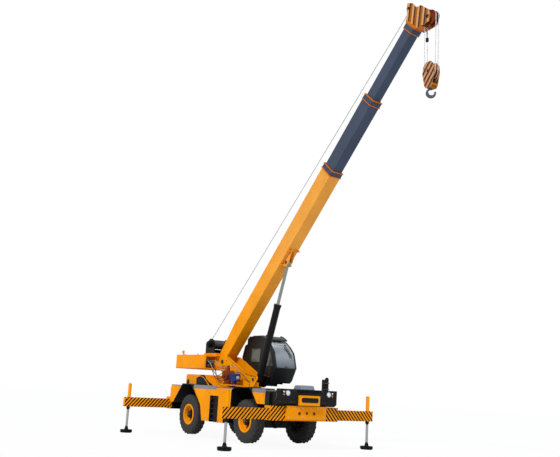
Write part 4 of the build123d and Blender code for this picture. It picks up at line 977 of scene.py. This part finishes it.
for k, (x, z) in enumerate(((0.20, 2.13), (0.62, 2.10))):
    lathe(f"side_lamp_{k}", at(x, 0.298, z), (0.4, -1, 0),
          ((-0.02, 0.038), (0.03, 0.040), (0.040, 0.034), (0.046, 0.012)), lamp_glass, HOUSE, 20)
    boxes_piece(f"side_lamp_foot_{k}", [(at(x - 0.02, 0.285, z - 0.05), at(x + 0.02, 0.302, z + 0.05))], cab_trim,
                HOUSE, 0.004)
tube("cab_rail", [at(0.92, 0.292, 2.16), at(0.94, 0.252, 2.20), at(0.99, 0.252, 2.70), at(0.97, 0.292, 2.76)],
     0.013, cab_trim, HOUSE)
prism("cab_back_case", ((-0.90, 2.42), (-0.90, 2.90), (-0.76, 3.28), (-0.548, 3.36), (-0.548, 2.42)), (0.33, 1.08),
      cab_black, HOUSE, 0.03)


def crowned(name, low, high, material, channels=(), axis=2, crown=0.035):
    """A cushion: a crowned closed form whose sides pull in between its corners, with sewn channels across it."""
    bm = bmesh.new()
    steps = 14
    grid = {}
    size = [high[k] - low[k] for k in range(3)]
    u_axis, v_axis = [k for k in range(3) if k != axis]
    for face in (0, 1):
        for i in range(steps + 1):
            for j in range(steps + 1):
                u, v = i / steps, j / steps
                bulge = (math.sin(math.pi * u) * math.sin(math.pi * v)) ** 0.5
                point = [0.0, 0.0, 0.0]
                pull = 0.012
                for k, run, across in ((u_axis, u, v), (v_axis, v, u)):
                    edge = abs(2 * run - 1) > 0.99
                    point[k] = low[k] + size[k] * run + pull * math.sin(math.pi * across) * (1 - 2 * run) * edge
                groove = max([math.exp(-((u - c) / 0.025) ** 2) for c in channels] or [0.0])
                rise = crown * bulge - 0.018 * groove * bulge
                point[axis] = high[axis] - crown + rise if face else low[axis]
                grid[face, i, j] = bm.verts.new(at(*point))
    for face in (0, 1):
        for i in range(steps):
            for j in range(steps):
                bm.faces.new((grid[face, i, j], grid[face, i + 1, j], grid[face, i + 1, j + 1], grid[face, i, j + 1]))
    rim = [(i, 0) for i in range(steps)] + [(steps, j) for j in range(steps)] + [(i, steps)
        for i in range(steps, 0, -1)]
    rim += [(0, j) for j in range(steps, 0, -1)]
    for one, two in zip(rim, rim[1:] + rim[:1]):
        bm.faces.new((grid[0, one[0], one[1]], grid[0, two[0], two[1]], grid[1, two[0], two[1]],
                      grid[1, one[0], one[1]]))
    thing = soften(mesh_object(name, bm, material, HOUSE), 0.014, 3, 50)
    for face in thing.data.polygons:
        face.use_smooth = True
    return thing


def weave(name, colour):
    s = Shader(name)
    x, y, z = s.split(s.place)
    cross = s.times(s.math("SINE", s.times(s.plus(x, z), 1400.0)), s.math("SINE", s.times(y, 1400.0)))
    s.set(Base_Color=s.mix(s.ramp(cross, -1.0, 1.0), colour, shade(colour, 0.7)),
          Roughness=s.ramp(s.noise(30.0), 0.3, 0.7, 0.8, 0.92))
    s.set(Sheen_Weight=0.25)
    s.set(Normal=s.bump(cross, 0.3, 0.0008))
    return s.material


cloth = weave("seat_cloth", rgb(96, 90, 66))
seat = crowned("seat_cushion", (-0.25, 0.51, 2.315), (0.23, 0.95, 2.450), cloth, (0.3, 0.7))
back = crowned("seat_back", (-0.335, 0.52, 2.46), (-0.205, 0.94, 3.02), cloth, (0.3, 0.7), axis=0)
boxes_piece("seat_base", [(at(-0.20, 0.56, 2.037), at(0.18, 0.90, 2.300)),
    (at(-0.24, 0.53, 2.300), at(0.20, 0.93, 2.312))], dark_plastic, HOUSE, 0.012)
boxes_piece("seat_hinge", [(at(-0.26, 0.60, 2.30), at(-0.20, 0.86, 2.47))], dark_plastic, HOUSE, 0.008)
boxes_piece("dash", [(at(0.72, 0.52, 2.037), at(0.86, 0.96, 2.455)),
                     (at(0.70, 0.50, 2.455), at(0.90, 0.98, 2.485))], dark_plastic, HOUSE, 0.014)
tube("steering_column", [at(0.76, 0.74, 2.47), at(0.68, 0.74, 2.68)], 0.022, dark_plastic, HOUSE, straight=True)
rim_points = [at(0.675, 0.74, 2.685) + Vector((-0.09 * math.sin(a), 0.19 * math.cos(a), 0.165 * math.sin(a)))
              for a in (2 * math.pi * k / 24 for k in range(25))]
tube("steering_wheel", rim_points, 0.014, dark_plastic, HOUSE)
boxes_piece("levers", [(at(0.74, 0.53 + 0.05 * k, 2.485), at(0.752, 0.542 + 0.05 * k, 2.60)) for k in range(3)],
            dark_steel, HOUSE, 0.003)
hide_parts("cab_interior")

# ---------------------------------------------------------------- boom, cylinder, head and hook

COLLARS = (      # name, middle along the boom, half width, lower and upper edge, body
    ("base", 8.225, 0.213, -0.029, 0.523, "boom_base"),
    ("middle", 10.815, 0.185, 0.005, 0.489, "boom_section_2"),
    ("tip", 13.235, 0.148, 0.055, 0.439, "boom_section_3"),
)
for name, start, half, n_low, n_high, body in COLLARS:
    for side, sign in SIDES:
        bolts(f"collar_bolts_{name}_{side}",
              [boom(start + ds, sign * (half + 0.008), n_low + share * (n_high - n_low)) for ds in (-0.05, 0.05)
               for share in (0.15, 0.5, 0.85)], (0, sign, 0), 0.014, 0.014, body)
    bolts(f"collar_pads_{name}",
          [boom(start + ds, y * half, n_high + 0.008) for ds in (-0.05, 0.05) for y in (-0.6, 0.0, 0.6)],
          tuple(OUT), 0.014, 0.014, body)
for side, sign in SIDES:
    lathe(f"eye_cap_{side}", boom(4.72, sign * 0.092, -0.13), (0, sign, 0),
          ((0, 0.058), (0.012, 0.058), (0.018, 0.045), (0.018, 0.03)), dark_steel, "boom_base", 24)
for name, near in (("low", 4.560), ("high", 5.180)):
    flange = ((near, -0.115), (near, -0.0275), (near + 0.025, -0.0275), (near + 0.025, -0.115))
    for ending, y in (("", (-0.235, -0.096)), ("_left", (0.096, 0.235))):
        prism(f"lug_flange_{name}{ending}", flange, y, yellow, "boom_base", 0.003, place=boom)
    bolts(f"lug_bolts_{name}", [boom(near + 0.025, y, -0.075) for y in (-0.20, -0.14, 0.14, 0.20)], tuple(ALONG),
          0.013, 0.014, "boom_base")

# pins and bolts of the head and the block, and the rope's socket
for side, sign in SIDES:
    for k, (s_at, n, r) in enumerate(((13.705, 0.665, 0.045), (13.829, -0.246, 0.060), (13.52, 0.20, 0.030))):
        lathe(f"head_pin_{k}_{side}", boom(s_at, sign * 0.190, n), (0, sign, 0),
              ((0, r), (0.014, r), (0.020, r * 0.75), (0.020, r * 0.4)), dark_steel, "boom_section_3", 24)
    lathe(f"block_pin_{side}", BLOCK_AXLE + Vector((0, sign * 0.120, 0)), (0, sign, 0),
          ((0, 0.055), (0.012, 0.055), (0.018, 0.042), (0.018, 0.02)), dark_steel, "hook_block", 24)
    bolts(f"block_bolts_{side}",
          [BLOCK_AXLE + Vector((dx, sign * 0.120, dz))
           for dx, dz in ((-0.14, 0.10), (0.14, 0.10), (-0.12, -0.28), (0.12, -0.28))], (0, sign, 0), 0.012, 0.012,
          "hook_block")
lathe("rope_socket", boom(13.66, -0.115, -0.44), (0, 0, -1),
      ((0, 0.020), (0.02, 0.026), (0.12, 0.022), (0.16, 0.014)), red_iron, "hoist_sheaves", 16)


# ---------------------------------------------------------------- stage, light, camera

def stage_mesh(name, corners, colour, rough=0.9):
    mesh = bpy.data.meshes.new(name)
    mesh.from_pydata(corners, [], [tuple(range(len(corners)))])
    thing = bpy.data.objects.new(name, mesh)
    scene.collection.objects.link(thing)
    s = Shader(name)
    s.set(Base_Color=s.mix(s.ramp(s.noise(0.8, 3), 0.3, 0.7, 0.0, 1.0), colour, shade(colour, 0.97)),
          Roughness=rough, Specular_IOR_Level=0.1)
    seen = s.add("ShaderNodeLightPath")
    glow = s.add("ShaderNodeEmission")
    s.feed(glow.inputs["Strength"], 1.0)
    blend = s.add("ShaderNodeMixShader")
    s.feed(blend.inputs[0], s.times(seen.outputs["Is Camera Ray"], 0.93))
    s.tree.links.new(s.bsdf.outputs[0], blend.inputs[1])
    s.tree.links.new(glow.outputs[0], blend.inputs[2])
    s.tree.links.new(blend.outputs[0], s.out.inputs[0])
    mesh.materials.append(s.material)
    return thing


stage_mesh("floor", ((-70, -70, -0.004), (70, -70, -0.004), (70, 70, -0.004), (-70, 70, -0.004)),
           (0.86, 0.86, 0.86, 1.0))

world = bpy.data.worlds.new("world")
scene.world = world
world.use_nodes = True
tree = world.node_tree
tree.nodes.clear()


def background(colour, strength):
    node = tree.nodes.new("ShaderNodeBackground")
    node.inputs["Color"].default_value = colour
    node.inputs["Strength"].default_value = strength
    return node.outputs[0]


def world_node(kind, *sources, operation=None):
    node = tree.nodes.new(kind)
    if operation:
        node.operation = operation
    for socket, source in zip(node.inputs, sources):
        tree.links.new(source, socket)
    return node.outputs[0] if node.outputs else None


sky = background((0.80, 0.86, 0.95, 1.0), 0.55)
white = background((1.0, 1.0, 1.0, 1.0), 1.0)
rays = tree.nodes.new("ShaderNodeLightPath").outputs
seen = world_node("ShaderNodeMath", rays["Is Camera Ray"], rays["Is Transmission Ray"], operation="MAXIMUM")
both = world_node("ShaderNodeMath", seen, rays["Is Glossy Ray"], operation="MAXIMUM")
world_node("ShaderNodeOutputWorld", world_node("ShaderNodeMixShader", both, sky, white))


def sun(name, toward, strength, angle, colour=(1, 1, 1)):
    lamp = bpy.data.lights.new(name, "SUN")
    lamp.energy = strength
    lamp.angle = math.radians(angle)
    lamp.color = colour
    thing = bpy.data.objects.new(name, lamp)
    thing.rotation_mode = "QUATERNION"
    thing.rotation_quaternion = Vector(toward).to_track_quat("-Z", "Y")
    scene.collection.objects.link(thing)


sun("key", (-0.35, 0.75, -0.75), 2.3, 12, (1.0, 0.98, 0.95))
sun("fill", (-0.9, -0.15, -0.35), 0.5, 40)

FOCAL, PICTURE_WIDTH = 757.930771, 560.0      # both in points of the picture
camera = bpy.data.cameras.new("camera")
camera.sensor_width = 36.0
camera.lens = FOCAL * camera.sensor_width / PICTURE_WIDTH
camera.clip_end = 300.0
eye = bpy.data.objects.new("camera", camera)
scene.collection.objects.link(eye)
right, up, ahead = (0.590958, 0.804988, 0.052563), (0.133881, -0.162122, 0.977646), (-0.795515, 0.570711, 0.203580)
spot = at(22.419794, -15.017938, 1.896035)
eye.matrix_world = Matrix([(right[k], up[k], -ahead[k], spot[k]) for k in range(3)] + [(0, 0, 0, 1)])
scene.camera = eye
scene.view_settings.view_transform = "Standard"
